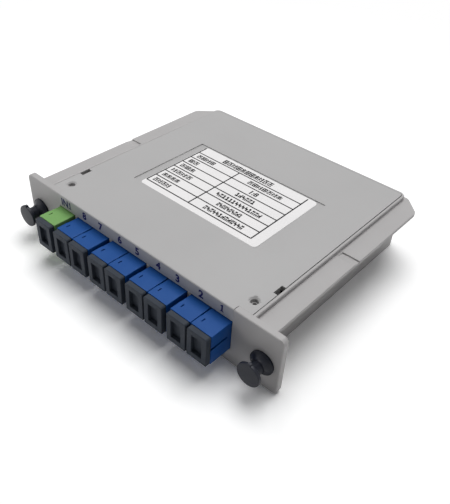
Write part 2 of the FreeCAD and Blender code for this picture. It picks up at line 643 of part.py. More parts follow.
# ---------------------------------------------------------------- latches
# Nylon push latch in each ear: a slit barrel whose washer rises as a flared neck, and the
# pin that spreads the barrel when pushed home.
WASHER = "-(panel_depth + washer_depth)"
FLARE = "-(panel_depth + washer_depth + flare_rise)"
HEAD = "-(panel_depth + head_reach)"
for name, sign in SIDES:
    x = sign + LATCH_X
    hole = "pin_size / 2 + pin_gap / 2"
    g = make_turned("grommet_" + name, x, "latch_height", [
        (hole, FLARE), (hole + " + flare_wall", FLARE), ("flare_root / 2", WASHER),
        ("washer_size / 2", WASHER),
        ("washer_size / 2", "-panel_depth"), ("barrel_size / 2", "-panel_depth"),
        ("barrel_size / 2", "barrel_length"), (hole, "barrel_length")])
    sk = make_sketch(g, "XZ_Plane", at_y("-slit_start"))
    rectangle(sk, "-slit_width / 2", "slit_width / 2", "-barrel_size", "barrel_size")
    feature(g, "Pocket", "slit", sk, "barrel_length + slit_start")
    nodes.append(g)

    p = make_turned("plunger_" + name, x, "latch_height", [
        ("0", HEAD), ("head_size / 2", HEAD), ("head_size / 2", HEAD + " + head_depth"),
        ("pin_size / 2", HEAD + " + head_depth"), ("pin_size / 2", "pin_end"), ("0", "pin_end")])
    sk = make_sketch(p, "XZ_Plane", at_y(HEAD + " + head_depth"))
    rectangle(sk, "-lug_width / 2", "lug_width / 2",
              "head_size / 2 - root_lap", "head_size / 2 + lug_rise")
    feature(p, "Pad", "lug", sk, "head_depth")
    nodes.append(p)

# ---------------------------------------------------------------- splitter module
# Steel case in line behind the input port, closed by two plugs, chip and arrays inside.
HALL = "(module_size / 2 - module_skin)"


def square_piece(label, x, start, length, width, height, hole=None):
    b = make_body(label, x, "port_axis")
    sk = make_sketch(b, "XZ_Plane", at_y(start + " + " + length))
    rectangle(sk, "-%s / 2" % width, "%s / 2" % width, "-%s / 2" % height, "%s / 2" % height)
    if hole:
        rectangle(sk, "-%s / 2" % hole[0], "%s / 2" % hole[0],
                  "-%s / 2" % hole[1], "%s / 2" % hole[1])
    feature(b, "Pad", "block", sk, length)
    return b


inside = "(2 * %s)" % HALL
nodes.append(square_piece("splitter_case", MODULE_X, "module_start", "module_length",
                          "module_size", "module_size", (inside, inside)))
snug = "(2 * %s - 2 * fit_gap)" % HALL
ribbon_hole = ("(ribbon_depth + ribbon_slack)", "(ribbon_height + ribbon_slack)")
nodes.append(square_piece("end_plug_out", MODULE_X, MODULE_END + " - plug_length",
                          "plug_length", snug, snug, ribbon_hole))
fibre_hole = "(fibre_size + fibre_slack)"
nodes.append(square_piece("end_plug_in", MODULE_X, "module_start", "plug_length", snug, snug,
                          (fibre_hole, fibre_hole)))

CHIP_START = "(module_start + module_length / 2 - chip_length / 2)"
nodes.append(square_piece("splitter_chip", MODULE_X, CHIP_START, "chip_length",
                          "chip_width", "chip_height"))
array_in = square_piece("array_in", MODULE_X, CHIP_START + " - array_length",
                        "array_length", "chip_width", "chip_height")
array_out = square_piece("array_out", MODULE_X, CHIP_START + " + chip_length",
                         "array_length", "chip_width", "chip_height")
nodes.append(join_group("fibre_arrays", [array_in, array_out]))

# fan-out block: ribbon in at the rear, eight buffered fibres out at the front
fan = make_body("fanout_block", FAN_X, "port_axis")
sk = make_sketch(fan, "XZ_Plane", at_y(MODULE_END))
rectangle(sk, "-fan_width / 2", "fan_width / 2", "-fan_height / 2", "fan_height / 2")
feature(fan, "Pad", "block", sk, "fan_length")
sk = make_sketch(fan, "XZ_Plane", at_y(FAN_START))
rectangle(sk, "-4 * fan_pitch", "4 * fan_pitch",
          "-(fibre_size + fibre_slack) / 2", "(fibre_size + fibre_slack) / 2")
feature(fan, "Pocket", "fibre_mouth", sk, "fan_entry")
sk = make_sketch(fan, "XZ_Plane", at_y(MODULE_END + " - fan_entry"))
rectangle(sk, "-(ribbon_depth + ribbon_slack) / 2", "(ribbon_depth + ribbon_slack) / 2",
          "-(ribbon_height + ribbon_slack) / 2", "(ribbon_height + ribbon_slack) / 2")
feature(fan, "Pocket", "ribbon_mouth", sk, "fan_entry")
nodes.append(fan)
doc.recompute()

# ---------------------------------------------------------------- fibres
# Each runs whole between its two ends: straight lengths and tangent arcs in the port plane.
# The buffered fibres are drawn square, with the area of the round ones.
axis_z = val("port_axis")
fibre = val("fibre_size")


def port_at(index):
    gaps, pairs = (index + 1) // 2, index // 2
    return ((gaps - 2) * (val("body_width") + val("group_gap"))
            + (pairs - 2) * (val("body_width") + val("nose_extra") + val("pair_gap")))


def line(a, b):
    return Part.LineSegment(V(a[0], a[1], axis_z), V(b[0], b[1], axis_z)).toShape()


def arc(centre, radius, start, end):
    spots = []
    for angle in (start, (start + end) / 2, end):
        spots.append(V(centre[0] + radius * math.cos(angle),
                       centre[1] + radius * math.sin(angle), axis_z))
    return Part.Arc(*spots).toShape()


def swept(x, y, path, width, height):
    """Strip of rectangular section along the path, which leaves (x, y) towards +Y."""
    corners = []
    for a, c in ((-1, -1), (1, -1), (1, 1), (-1, 1)):
        corners.append(V(x + a * width / 2, y, axis_z + c * height / 2))
    profile = Part.makePolygon(corners + corners[:1])
    return Part.Wire(path).makePipeShell([profile], True, False)


def cord(label, shape):
    made = doc.addObject("Part::Feature", label)
    made.Label = label
    made.Shape = shape
    made.Placement = FreeCAD.Placement()
    return made


flange_rear = (val("body_length") / 2 - val("panel_depth") - val("body_reach") + val("seam_gap")
               + val("ferrule_length") + val("flange_length"))
module_x = port_at(0)
chip_front = val("module_start") + (val("module_length") - val("chip_length")) / 2
in_path = [line((module_x, flange_rear), (module_x, chip_front - val("array_length")))]
nodes.append(cord("input_pigtail", swept(module_x, flange_rear, in_path, fibre, fibre)))

# outputs: back from the port, one bend each way, then into the block side by side
boot_end = val("grip_start") + val("grip_length") + val("boot_length")
fan_x = (port_at(1) + port_at(8)) / 2
module_end = val("module_start") + val("module_length")
fan_front = module_end - val("fan_length")
fan_stop = fan_front + val("fan_entry") - val("seam_gap")
outputs = []
HALFWAY = 3.5
for slot in range(8):
    x = port_at(slot + 1)
    lane = fan_x + (slot - HALFWAY) * val("fan_pitch")
    bend = val("fan_bend") + (HALFWAY - abs(slot - HALFWAY)) * val("fan_pitch")
    side = 1 if lane > x else -1
    across, along = abs(lane - x), fan_front - boot_end
    slope = math.atan2(across - 2 * bend, along)
    turn = slope + math.asin(2 * bend / math.hypot(across - 2 * bend, along))
    first = (x + side * bend, boot_end)
    second = (lane - side * bend, fan_front)
    a0 = math.pi if side > 0 else 0.0
    one = arc(first, bend, a0, a0 - side * turn)
    b0 = 0.0 if side > 0 else math.pi
    two = arc(second, bend, b0 - side * turn, b0)
    p, q = one.Vertexes[-1].Point, two.Vertexes[0].Point
    path = [line((x, flange_rear), (x, boot_end)), one, line((p.x, p.y), (q.x, q.y)), two,
            line((lane, fan_front), (lane, fan_stop))]
    outputs.append(swept(x, flange_rear, path, fibre, fibre))
nodes.append(cord("output_pigtails", Part.makeCompound(outputs)))

# ribbon of eight fibres on edge, from the module round the rear corner to the block
bend = val("ribbon_bend")
lane_y = module_end + bend
begin = chip_front + val("chip_length") + val("array_length")
half_pi = math.pi / 2
path = [line((module_x, begin), (module_x, module_end)),
        arc((module_x + bend, module_end), bend, math.pi, half_pi),
        line((module_x + bend, lane_y), (fan_x - bend, lane_y)),
        arc((fan_x - bend, module_end), bend, half_pi, 0.0),
        line((fan_x, module_end), (fan_x, module_end - val("fan_entry") + val("seam_gap")))]
nodes.append(cord("fibre_ribbon", swept(module_x, begin, path, val("ribbon_depth"),
                                        val("ribbon_height"))))

# ---------------------------------------------------------------- checks and export
doc.recompute()
for item in doc.Objects:
    bad = [s for s in item.State if s in ("Invalid", "Error")]
    if bad:
        raise RuntimeError("%s is %s" % (item.Label, bad))
for node in nodes:
    if node.Shape.isNull() or not node.Shape.isValid() or not node.Shape.Solids:
        raise RuntimeError("bad shape in " + node.Label)

os.makedirs("parts", exist_ok=True)
for node in nodes:
    node.Shape.exportStep("parts/" + node.Label + ".step")
    box = node.Shape.BoundBox
    print("%-18s %2d solids %9.1f mm3  X %.2f..%.2f Y %.2f..%.2f Z %.2f..%.2f" % (
        node.Label, len(node.Shape.Solids), node.Shape.Volume, box.XMin, box.XMax,
        box.YMin, box.YMax, box.ZMin, box.ZMax))
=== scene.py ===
import math
import bmesh
import bpy
from mathutils import Matrix, Vector


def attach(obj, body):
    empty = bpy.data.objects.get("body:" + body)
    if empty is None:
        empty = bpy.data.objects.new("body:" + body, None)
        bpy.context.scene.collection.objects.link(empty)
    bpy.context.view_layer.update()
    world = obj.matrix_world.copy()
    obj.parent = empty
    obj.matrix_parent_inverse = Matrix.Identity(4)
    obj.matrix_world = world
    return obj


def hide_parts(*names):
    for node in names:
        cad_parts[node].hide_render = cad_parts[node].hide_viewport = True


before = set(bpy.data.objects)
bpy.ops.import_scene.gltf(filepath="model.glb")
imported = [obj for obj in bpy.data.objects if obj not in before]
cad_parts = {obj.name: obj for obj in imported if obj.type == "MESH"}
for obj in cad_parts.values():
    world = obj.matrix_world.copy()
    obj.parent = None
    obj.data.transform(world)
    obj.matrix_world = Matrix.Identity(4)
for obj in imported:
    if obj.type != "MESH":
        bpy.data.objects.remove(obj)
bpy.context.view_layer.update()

# ------------------------------------------------------------------ tray
# The tray is one moulding of grey ABS: floor, walls, the front panel with its two ears,
# the side rails and the rib behind the ports. Its edges are slightly rounded by the tool,
# and its skin has the fine matt grain of a spark-eroded mould.
MM = 0.001
MERGE_DISTANCE = 1e-6
TRAY_EDGE, SOFT_EDGE = 0.14 * MM, 0.5 * MM
LONG_EDGE = 1.2 * MM
ROUNDED_FOLD, SHADED_FOLD = 30, 35
SEAM_REACH, CASE_SIDE, LIP_END = 0.15 * MM, 52 * MM, 45 * MM
NEAR_TOP, NEAR_FRONT = 24.9 * MM, -2.4 * MM


def tone(red, green, blue):
    """Colour given as 0 to 255 on a screen, as the linear one that a shader takes."""
    linear = []
    for part in (red, green, blue):
        part /= 255
        linear.append(part / 12.92 if part <= 0.04045 else ((part + 0.055) / 1.055) ** 2.4)
    return (*linear, 1.0)


def wire(tree, source, output, target, socket):
    tree.links.new(source.outputs[output], target.inputs[socket])


def moulded_plastic(name, colour, other, gloss=0.5, grain=0.35, grain_size=0.35, patch=22,
                    shine=0.5):
    """Moulded plastic: two near shades in soft patches, uneven gloss and a fine grain."""
    made = bpy.data.materials.new(name)
    made.use_nodes = True
    tree = made.node_tree
    shader = tree.nodes["Principled BSDF"]
    shader.inputs["Specular IOR Level"].default_value = shine
    place = tree.nodes.new("ShaderNodeTexCoord")
    patches = tree.nodes.new("ShaderNodeTexNoise")
    patches.inputs["Scale"].default_value = 1 / (patch * MM)
    patches.inputs["Detail"].default_value = 4
    wire(tree, place, "Object", patches, "Vector")
    shades = tree.nodes.new("ShaderNodeMix")
    shades.data_type = "RGBA"
    shades.inputs[6].default_value = colour
    shades.inputs[7].default_value = other
    wire(tree, patches, "Fac", shades, 0)
    tree.links.new(shades.outputs[2], shader.inputs["Base Color"])
    sheen = tree.nodes.new("ShaderNodeMapRange")
    sheen.inputs["From Min"].default_value = 0.3
    sheen.inputs["From Max"].default_value = 0.7
    sheen.inputs["To Min"].default_value = gloss - 0.05
    sheen.inputs["To Max"].default_value = gloss + 0.06
    wire(tree, patches, "Fac", sheen, "Value")
    wire(tree, sheen, "Result", shader, "Roughness")
    sparks = tree.nodes.new("ShaderNodeTexNoise")
    sparks.inputs["Scale"].default_value = 1 / (grain_size * MM)
    sparks.inputs["Detail"].default_value = 3
    wire(tree, place, "Object", sparks, "Vector")
    bump = tree.nodes.new("ShaderNodeBump")
    bump.inputs["Strength"].default_value = grain
    bump.inputs["Distance"].default_value = 0.02 * MM
    wire(tree, sparks, "Fac", bump, "Height")
    wire(tree, bump, "Normal", shader, "Normal")
    return made


def rounded_copy(node, edge, material, segments=2, long_edge=LONG_EDGE, crisp=None, soft=None):
    """Copy of a moulded piece, merged, with its long sharp edges rounded.

    An edge whose middle passes the crisp test stays as it is, and one that passes the soft
    test is rounded more, by SOFT_EDGE.
    """
    shape = bmesh.new()
    shape.from_mesh(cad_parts[node].data)
    shape.transform(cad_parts[node].matrix_world)
    bmesh.ops.remove_doubles(shape, verts=shape.verts, dist=MERGE_DISTANCE)
    bmesh.ops.dissolve_limit(shape, angle_limit=math.radians(1), verts=shape.verts,
                             edges=shape.edges)
    weight = shape.edges.layers.float.new("bevel_weight_edge")
    for line in shape.edges:
        sharp = line.is_manifold and line.calc_face_angle() > math.radians(ROUNDED_FOLD)
        middle = (line.verts[0].co + line.verts[1].co) / 2
        if not sharp or line.calc_length() <= long_edge or (crisp and crisp(middle)):
            line[weight] = 0.0
        elif soft and soft(middle):
            line[weight] = 1.0
        else:
            line[weight] = edge / SOFT_EDGE if soft else 1.0
    mesh = bpy.data.meshes.new(node + "_rounded")
    shape.to_mesh(mesh)
    shape.free()
    for face in mesh.polygons:
        face.use_smooth = True
    mesh.set_sharp_from_angle(angle=math.radians(SHADED_FOLD))
    piece = bpy.data.objects.new(node + "_rounded", mesh)
    bpy.context.scene.collection.objects.link(piece)
    mesh.materials.append(material)
    corner = piece.modifiers.new("rounding", "BEVEL")
    corner.limit_method = "WEIGHT"
    corner.width = SOFT_EDGE if soft else edge
    corner.segments = segments
    corner.use_clamp_overlap = False
    even = piece.modifiers.new("flat_faces", "WEIGHTED_NORMAL")
    even.keep_sharp = True
    return piece


def front_seam(spot):
    """Where the lid meets the panel: the mould leaves both sharp, so the seam hardly shows."""
    on_top = abs(spot.y) < SEAM_REACH and spot.z > NEAR_TOP and abs(spot.x) > LIP_END
    shut = spot.y < (NEAR_FRONT if spot.x > 0 else SEAM_REACH)
    at_lip = shut and abs(abs(spot.x) - LIP_END) < 2 * SEAM_REACH
    return on_top or at_lip


def rim_side(spot):
    """The outer top edges of the rim, along both sides of the tray."""
    return spot.z > NEAR_TOP and abs(abs(spot.x) - CASE_SIDE) < SEAM_REACH and spot.y > 0


grey_abs = moulded_plastic("grey_abs", tone(168, 166, 166), tone(162, 160, 160), 0.52)
tray = rounded_copy("base_tray", TRAY_EDGE, grey_abs, 3, crisp=front_seam, soft=rim_side)
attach(tray, "housing")
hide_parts("base_tray")

# ------------------------------------------------------------------ adapters
# Each port is a one-piece snap-in adapter of coloured PBT, held by its collar between the
# panel and the rib: green for the angled input, blue for the eight outputs. Inside it a
# white insert carries the alignment sleeve and the four latch arms.
ADAPTER_EDGE = 0.12 * MM
ADAPTER_LINE, INSERT_LINE = 1.0 * MM, 2 * MM
PORTS = ["in", "8", "7", "6", "5", "4", "3", "2", "1"]

blue_pbt = moulded_plastic("blue_pbt", tone(6, 72, 140), tone(4, 64, 130), 0.5, 0.2, 0.25, 9, 0.2)
green_pbt = moulded_plastic("green_pbt", tone(114, 158, 90), tone(106, 151, 84), 0.5, 0.2, 0.25,
                            9, 0.3)
white_insert = moulded_plastic("white_insert", tone(225, 226, 222), tone(216, 218, 214), 0.4, 0.1)
for port in PORTS:
    colour = green_pbt if port == "in" else blue_pbt
    adapter = rounded_copy("adapter_" + port, ADAPTER_EDGE, colour, 2, ADAPTER_LINE)
    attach(adapter, "housing")
    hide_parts("adapter_" + port)
    insert = rounded_copy("sleeve_holder_" + port, ADAPTER_EDGE, white_insert, 1, INSERT_LINE)
    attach(insert, "housing")
    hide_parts("sleeve_holder_" + port)

# ------------------------------------------------------------------ inner connectors
# A push-pull connector sits in the back of every adapter: a housing with two windows for the
# latch arms, a zirconia ferrule pressed into a hexagonal nickel flange, and a ribbed rubber
# boot that guards the fibre where it leaves.
GRIP_EDGE = 0.15 * MM
AXIS_Z = 12.9 * MM
PORT_STEP, PAIR_STEP = 10.8 * MM, 9.3 * MM
FERRULE_START, FERRULE_LENGTH, FERRULE_RADIUS = 1.9 * MM, 10.5 * MM, 1.25 * MM
FERRULE_CHAMFER, FLANGE_CHAMFER = 0.35 * MM, 0.3 * MM
FERRULE_SIDES, FLANGE_SIDES, BOOT_SIDES, RIB_SIDES = 48, 6, 32, 24
# the boot's core as shares of its root and tail, a rib as a share of the pitch, the first rib
CORE_ROOT, CORE_TIP, RIB_SHARE, FIRST_RIB = 0.75, 0.8, 0.6, 0.92
FLANGE_LENGTH, FLANGE_RADIUS = 3.2 * MM, 2.4 * MM
BOOT_START, BOOT_ROOT, BOOT_HOLD = 29.6 * MM, 2.4 * MM, 5.0 * MM
BOOT_TAIL, BOOT_LENGTH, BOOT_RIBS = 1.35 * MM, 11.4 * MM, 8
FIBRE_RADIUS = 0.45 * MM


def size_tree(name, sizes):
    """Geometry Nodes tree with a geometry in and out and one named input for every size."""
    tree = bpy.data.node_groups.new(name, "GeometryNodeTree")
    tree.interface.new_socket("Places", in_out="INPUT", socket_type="NodeSocketGeometry")
    for label, kind in sizes:
        tree.interface.new_socket(label, in_out="INPUT", socket_type="NodeSocket" + kind)
    tree.interface.new_socket("Geometry", in_out="OUTPUT", socket_type="NodeSocketGeometry")
    return tree, tree.nodes.new("NodeGroupInput"), tree.nodes.new("NodeGroupOutput")


def step(tree, kind, **settings):
    """Node of that kind, with its settings."""
    made = tree.nodes.new(kind)
    for key, value in settings.items():
        setattr(made, key, value)
    return made


def finish_tree(tree, source, output, given, end):
    """Ends a tree as real geometry in the given material."""
    real = step(tree, "GeometryNodeRealizeInstances")
    paint = step(tree, "GeometryNodeSetMaterial")
    wire(tree, source, output, real, "Geometry")
    wire(tree, real, "Geometry", paint, "Geometry")
    wire(tree, given, "Material", paint, "Material")
    wire(tree, paint, "Geometry", end, "Geometry")


def grow(name, tree, places, links=(), **sizes):
    """Runs a tree on points, or on lines through them, and returns the plain mesh piece."""
    seed = bpy.data.meshes.new(name)
    seed.from_pydata(places, links, [])
    piece = bpy.data.objects.new(name, seed)
    bpy.context.scene.collection.objects.link(piece)
    growth = piece.modifiers.new("growth", "NODES")
    growth.node_group = tree
    for item in tree.interface.items_tree:
        if item.in_out == "INPUT" and item.name in sizes:
            growth[item.identifier] = sizes[item.name]
    graph = bpy.context.evaluated_depsgraph_get()
    mesh = bpy.data.meshes.new_from_object(piece.evaluated_get(graph), depsgraph=graph)
    piece.modifiers.remove(growth)
    piece.data = mesh
    return piece


def smooth(piece, angle=SHADED_FOLD):
    for face in piece.data.polygons:
        face.use_smooth = True
    piece.data.set_sharp_from_angle(angle=math.radians(angle))
    return piece


def rod_tree():
    """Rods along Y from every point, with a chamfer at the front end."""
    tree, given, end = size_tree("chamfered_rods", [
        ("Sides", "Int"), ("Radius", "Float"), ("Length", "Float"), ("Chamfer", "Float"),
        ("Material", "Material")])
    shank = step(tree, "GeometryNodeMeshCylinder", fill_type="NGON")
    tip = step(tree, "GeometryNodeMeshCone", fill_type="NGON")
    short = step(tree, "ShaderNodeMath", operation="SUBTRACT")
    narrow = step(tree, "ShaderNodeMath", operation="SUBTRACT")
    middle = step(tree, "ShaderNodeMath", operation="MULTIPLY_ADD")
    middle.inputs[1].default_value = 0.5
    lift = step(tree, "ShaderNodeCombineXYZ")
    place = step(tree, "GeometryNodeTransform")
    both = step(tree, "GeometryNodeJoinGeometry")
    weld = step(tree, "GeometryNodeMergeByDistance")
    weld.inputs["Distance"].default_value = MERGE_DISTANCE
    turn = step(tree, "GeometryNodeTransform")
    turn.inputs["Rotation"].default_value = (-math.pi / 2, 0, 0)
    spread = step(tree, "GeometryNodeInstanceOnPoints")
    wire(tree, given, "Length", short, 0)
    wire(tree, given, "Chamfer", short, 1)
    wire(tree, given, "Radius", narrow, 0)
    wire(tree, given, "Chamfer", narrow, 1)
    wire(tree, given, "Sides", shank, "Vertices")
    wire(tree, given, "Radius", shank, "Radius")
    wire(tree, short, 0, shank, "Depth")
    wire(tree, short, 0, middle, 0)
    wire(tree, given, "Chamfer", middle, 2)
    wire(tree, middle, 0, lift, "Z")
    wire(tree, shank, "Mesh", place, "Geometry")
    wire(tree, lift, "Vector", place, "Translation")
    wire(tree, given, "Sides", tip, "Vertices")
    wire(tree, narrow, 0, tip, "Radius Bottom")
    wire(tree, given, "Radius", tip, "Radius Top")
    wire(tree, given, "Chamfer", tip, "Depth")
    wire(tree, tip, "Mesh", both, "Geometry")
    wire(tree, place, "Geometry", both, "Geometry")
    wire(tree, both, "Geometry", weld, "Geometry")
    wire(tree, weld, "Geometry", turn, "Geometry")
    wire(tree, given, "Places", spread, "Points")
    wire(tree, turn, "Geometry", spread, "Instance")
    finish_tree(tree, spread, "Instances", given, end)
    return tree


def boot_tree():
    """Rubber boots along Y: a round root, and a tail of ribs that grow thinner."""
    tree, given, end = size_tree("ribbed_boots", [
        ("Root radius", "Float"), ("Root length", "Float"), ("Tail radius", "Float"),
        ("Tail length", "Float"), ("Ribs", "Int"), ("Material", "Material")])
    root = step(tree, "GeometryNodeMeshCylinder", fill_type="NGON")
    root.inputs["Vertices"].default_value = BOOT_SIDES
    half = step(tree, "ShaderNodeMath", operation="MULTIPLY")
    half.inputs[1].default_value = -0.5
    sink = step(tree, "ShaderNodeCombineXYZ")
    hold = step(tree, "GeometryNodeTransform")
    core = step(tree, "GeometryNodeMeshCone", fill_type="NGON")
    core.inputs["Vertices"].default_value = RIB_SIDES
    thin = step(tree, "ShaderNodeMath", operation="MULTIPLY")
    thin.inputs[1].default_value = CORE_TIP
    waist = step(tree, "ShaderNodeMath", operation="MULTIPLY")
    waist.inputs[1].default_value = CORE_ROOT
    pitch = step(tree, "ShaderNodeMath", operation="DIVIDE")
    first = step(tree, "ShaderNodeMath", operation="MULTIPLY")
    first.inputs[1].default_value = 0.5
    start = step(tree, "ShaderNodeCombineXYZ")
    offset = step(tree, "ShaderNodeCombineXYZ")
    line = step(tree, "GeometryNodeMeshLine")
    rib = step(tree, "GeometryNodeMeshCylinder", fill_type="NGON")
    rib.inputs["Vertices"].default_value = RIB_SIDES
    depth = step(tree, "ShaderNodeMath", operation="MULTIPLY")
    depth.inputs[1].default_value = RIB_SHARE
    order = step(tree, "GeometryNodeInputIndex")
    taper = step(tree, "ShaderNodeMapRange")
    taper.inputs["To Min"].default_value = FIRST_RIB
    ratio = step(tree, "ShaderNodeMath", operation="DIVIDE")
    spread_scale = step(tree, "ShaderNodeCombineXYZ")
    spread_scale.inputs["Z"].default_value = 1
    ribs = step(tree, "GeometryNodeInstanceOnPoints")
    both = step(tree, "GeometryNodeJoinGeometry")
    turn = step(tree, "GeometryNodeTransform")
    turn.inputs["Rotation"].default_value = (-math.pi / 2, 0, 0)
    spread = step(tree, "GeometryNodeInstanceOnPoints")
    wire(tree, given, "Root radius", root, "Radius")
    wire(tree, given, "Root length", root, "Depth")
    wire(tree, given, "Root length", half, 0)
    wire(tree, half, 0, sink, "Z")
    wire(tree, root, "Mesh", hold, "Geometry")
    wire(tree, sink, "Vector", hold, "Translation")
    wire(tree, given, "Root radius", waist, 0)
    wire(tree, waist, 0, core, "Radius Bottom")
    wire(tree, given, "Tail radius", thin, 0)
    wire(tree, thin, 0, core, "Radius Top")
    wire(tree, given, "Tail length", core, "Depth")
    wire(tree, given, "Tail length", pitch, 0)
    wire(tree, given, "Ribs", pitch, 1)
    wire(tree, pitch, 0, first, 0)
    wire(tree, first, 0, start, "Z")
    wire(tree, pitch, 0, offset, "Z")
    wire(tree, given, "Ribs", line, "Count")
    wire(tree, start, "Vector", line, "Start Location")
    wire(tree, offset, "Vector", line, "Offset")
    wire(tree, given, "Root radius", rib, "Radius")
    wire(tree, pitch, 0, depth, 0)
    wire(tree, depth, 0, rib, "Depth")
    wire(tree, order, "Index", taper, "Value")
    wire(tree, given, "Ribs", taper, "From Max")
    wire(tree, given, "Tail radius", ratio, 0)
    wire(tree, given, "Root radius", ratio, 1)
    wire(tree, ratio, 0, taper, "To Max")
    wire(tree, taper, "Result", spread_scale, "X")
    wire(tree, taper, "Result", spread_scale, "Y")
    wire(tree, line, "Mesh", ribs, "Points")
    wire(tree, rib, "Mesh", ribs, "Instance")
    wire(tree, spread_scale, "Vector", ribs, "Scale")
    for source, output in ((hold, "Geometry"), (core, "Mesh"), (ribs, "Instances")):
        wire(tree, source, output, both, "Geometry")
    wire(tree, both, "Geometry", turn, "Geometry")
    wire(tree, given, "Places", spread, "Points")
    wire(tree, turn, "Geometry", spread, "Instance")
    finish_tree(tree, spread, "Instances", given, end)
    return tree


def port_spots(y):
    """A point on the axis of every port, at that depth."""
    spots = []
    for index in range(len(PORTS)):
        gaps, pairs = (index + 1) // 2, index // 2
        spots.append(Vector(((gaps - 2) * PORT_STEP + (pairs - 2) * PAIR_STEP, y, AXIS_Z)))
    return spots


zirconia = moulded_plastic("zirconia", tone(238, 238, 234), tone(232, 232, 228), 0.12, 0.02)
nickel_flange = moulded_plastic("nickel_flange", tone(176, 172, 164), tone(166, 162, 156), 0.3,
                                0.05)
nickel_flange.node_tree.nodes["Principled BSDF"].inputs["Metallic"].default_value = 1.0
boot_rubber = moulded_plastic("boot_rubber", tone(232, 232, 228), tone(224, 224, 220), 0.6, 0.15)
rods = rod_tree()
ferrules = smooth(grow("ferrules_turned", rods, port_spots(FERRULE_START), Sides=FERRULE_SIDES,
                       Radius=FERRULE_RADIUS, Length=FERRULE_LENGTH, Chamfer=FERRULE_CHAMFER,
                       Material=zirconia))
flanges = smooth(grow("flanges_hexagonal", rods, port_spots(FERRULE_START + FERRULE_LENGTH),
                      Sides=FLANGE_SIDES, Radius=FLANGE_RADIUS, Length=FLANGE_LENGTH,
                      Chamfer=FLANGE_CHAMFER, Material=nickel_flange))
boots = smooth(grow("boots_ribbed", boot_tree(), port_spots(BOOT_START), Material=boot_rubber,
                    Ribs=BOOT_RIBS, **{
                        "Root radius": BOOT_ROOT, "Root length": BOOT_HOLD,
                        "Tail radius": BOOT_TAIL, "Tail length": BOOT_LENGTH}))
for piece, node, finish in ((ferrules, "ferrules", "ceramic_white"),
                            (flanges, "ferrule_flanges", "flange_metal"),
                            (boots, "plug_boots", "boot_white")):
    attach(piece, "housing")
    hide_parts(node)
for port in PORTS:
    grip = rounded_copy("plug_grip_" + port, GRIP_EDGE, green_pbt if port == "in" else blue_pbt)
    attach(grip, "housing")
    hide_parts("plug_grip_" + port)

# ------------------------------------------------------------------ splitter module
# The splitter itself is a glass chip between two fibre arrays, glued in line inside a square
# tube of drawn steel. A rubber plug closes each end round the fibre or the ribbon.
BRUSH_SIZE = 0.15 * MM
BRUSH_STRETCH = 0.02


def drawn_steel(name, colour):
    """Steel with the fine lines of drawing along its length."""
    made = bpy.data.materials.new(name)
    made.use_nodes = True
    tree = made.node_tree
    shader = tree.nodes["Principled BSDF"]
    shader.inputs["Base Color"].default_value = colour
    shader.inputs["Metallic"].default_value = 1.0
    place = tree.nodes.new("ShaderNodeTexCoord")
    along = tree.nodes.new("ShaderNodeMapping")
    along.inputs["Scale"].default_value = (1, BRUSH_STRETCH, 1)
    lines = tree.nodes.new("ShaderNodeTexNoise")
    lines.inputs["Scale"].default_value = 1 / BRUSH_SIZE
    wire(tree, place, "Object", along, "Vector")
    wire(tree, along, "Vector", lines, "Vector")
    sheen = tree.nodes.new("ShaderNodeMapRange")
    sheen.inputs["To Min"].default_value = 0.25
    sheen.inputs["To Max"].default_value = 0.45
    wire(tree, lines, "Fac", sheen, "Value")
    wire(tree, sheen, "Result", shader, "Roughness")
    bump = tree.nodes.new("ShaderNodeBump")
    bump.inputs["Strength"].default_value = 0.2
    bump.inputs["Distance"].default_value = 0.01 * MM
    wire(tree, lines, "Fac", bump, "Height")
    wire(tree, bump, "Normal", shader, "Normal")
    return made


module_steel = drawn_steel("module_steel", tone(190, 192, 196))
plug_rubber = moulded_plastic("plug_rubber", tone(42, 42, 44), tone(34, 34, 36), 0.7, 0.3)
chip_glass = moulded_plastic("chip_glass", tone(206, 216, 214), tone(196, 208, 206), 0.08, 0.02)
fanout_nylon = moulded_plastic("fanout_nylon", tone(38, 39, 42), tone(30, 31, 34), 0.45, 0.3)
for node, skin, finish in (("splitter_case", module_steel, "module_steel"),
                           ("end_plug_in", plug_rubber, "end_plug_rubber"),
                           ("end_plug_out", plug_rubber, "end_plug_rubber"),
                           ("splitter_chip", chip_glass, "chip_glass"),
                           ("fibre_arrays", chip_glass, "chip_glass"),
                           ("fanout_block", fanout_nylon, "fanout_black")):
    piece = rounded_copy(node, ADAPTER_EDGE, skin)
    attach(piece, "housing")
    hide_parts(node)

# ------------------------------------------------------------------ fibres
# White tight-buffered fibres of 0.9 mm run from the connectors. The input goes straight into
# the module. Its outputs leave as a flat ribbon of eight on edge, which turns round the back
# to the fan-out block, where it parts into the eight fibres of the output ports.
FIBRE_START = 15.6 * MM
ARRAY_FRONT, ARRAY_REAR, MODULE_REAR = 53 * MM, 73 * MM, 83 * MM
BOOT_END, FAN_FRONT, FAN_ENTRY = 41 * MM, 73 * MM, 2.9 * MM
FAN_PITCH, FAN_BEND, HALFWAY = 1.0 * MM, 10 * MM, 3.5
RIBBON_BEND, RIBBON_PITCH, RIBBON_RADIUS = 11 * MM, 0.27 * MM, 0.15 * MM
RIBBON_FIBRES = 8
BEND_STEPS, RING_SIDES, FIBRE_FOLD = 16, 16, 60


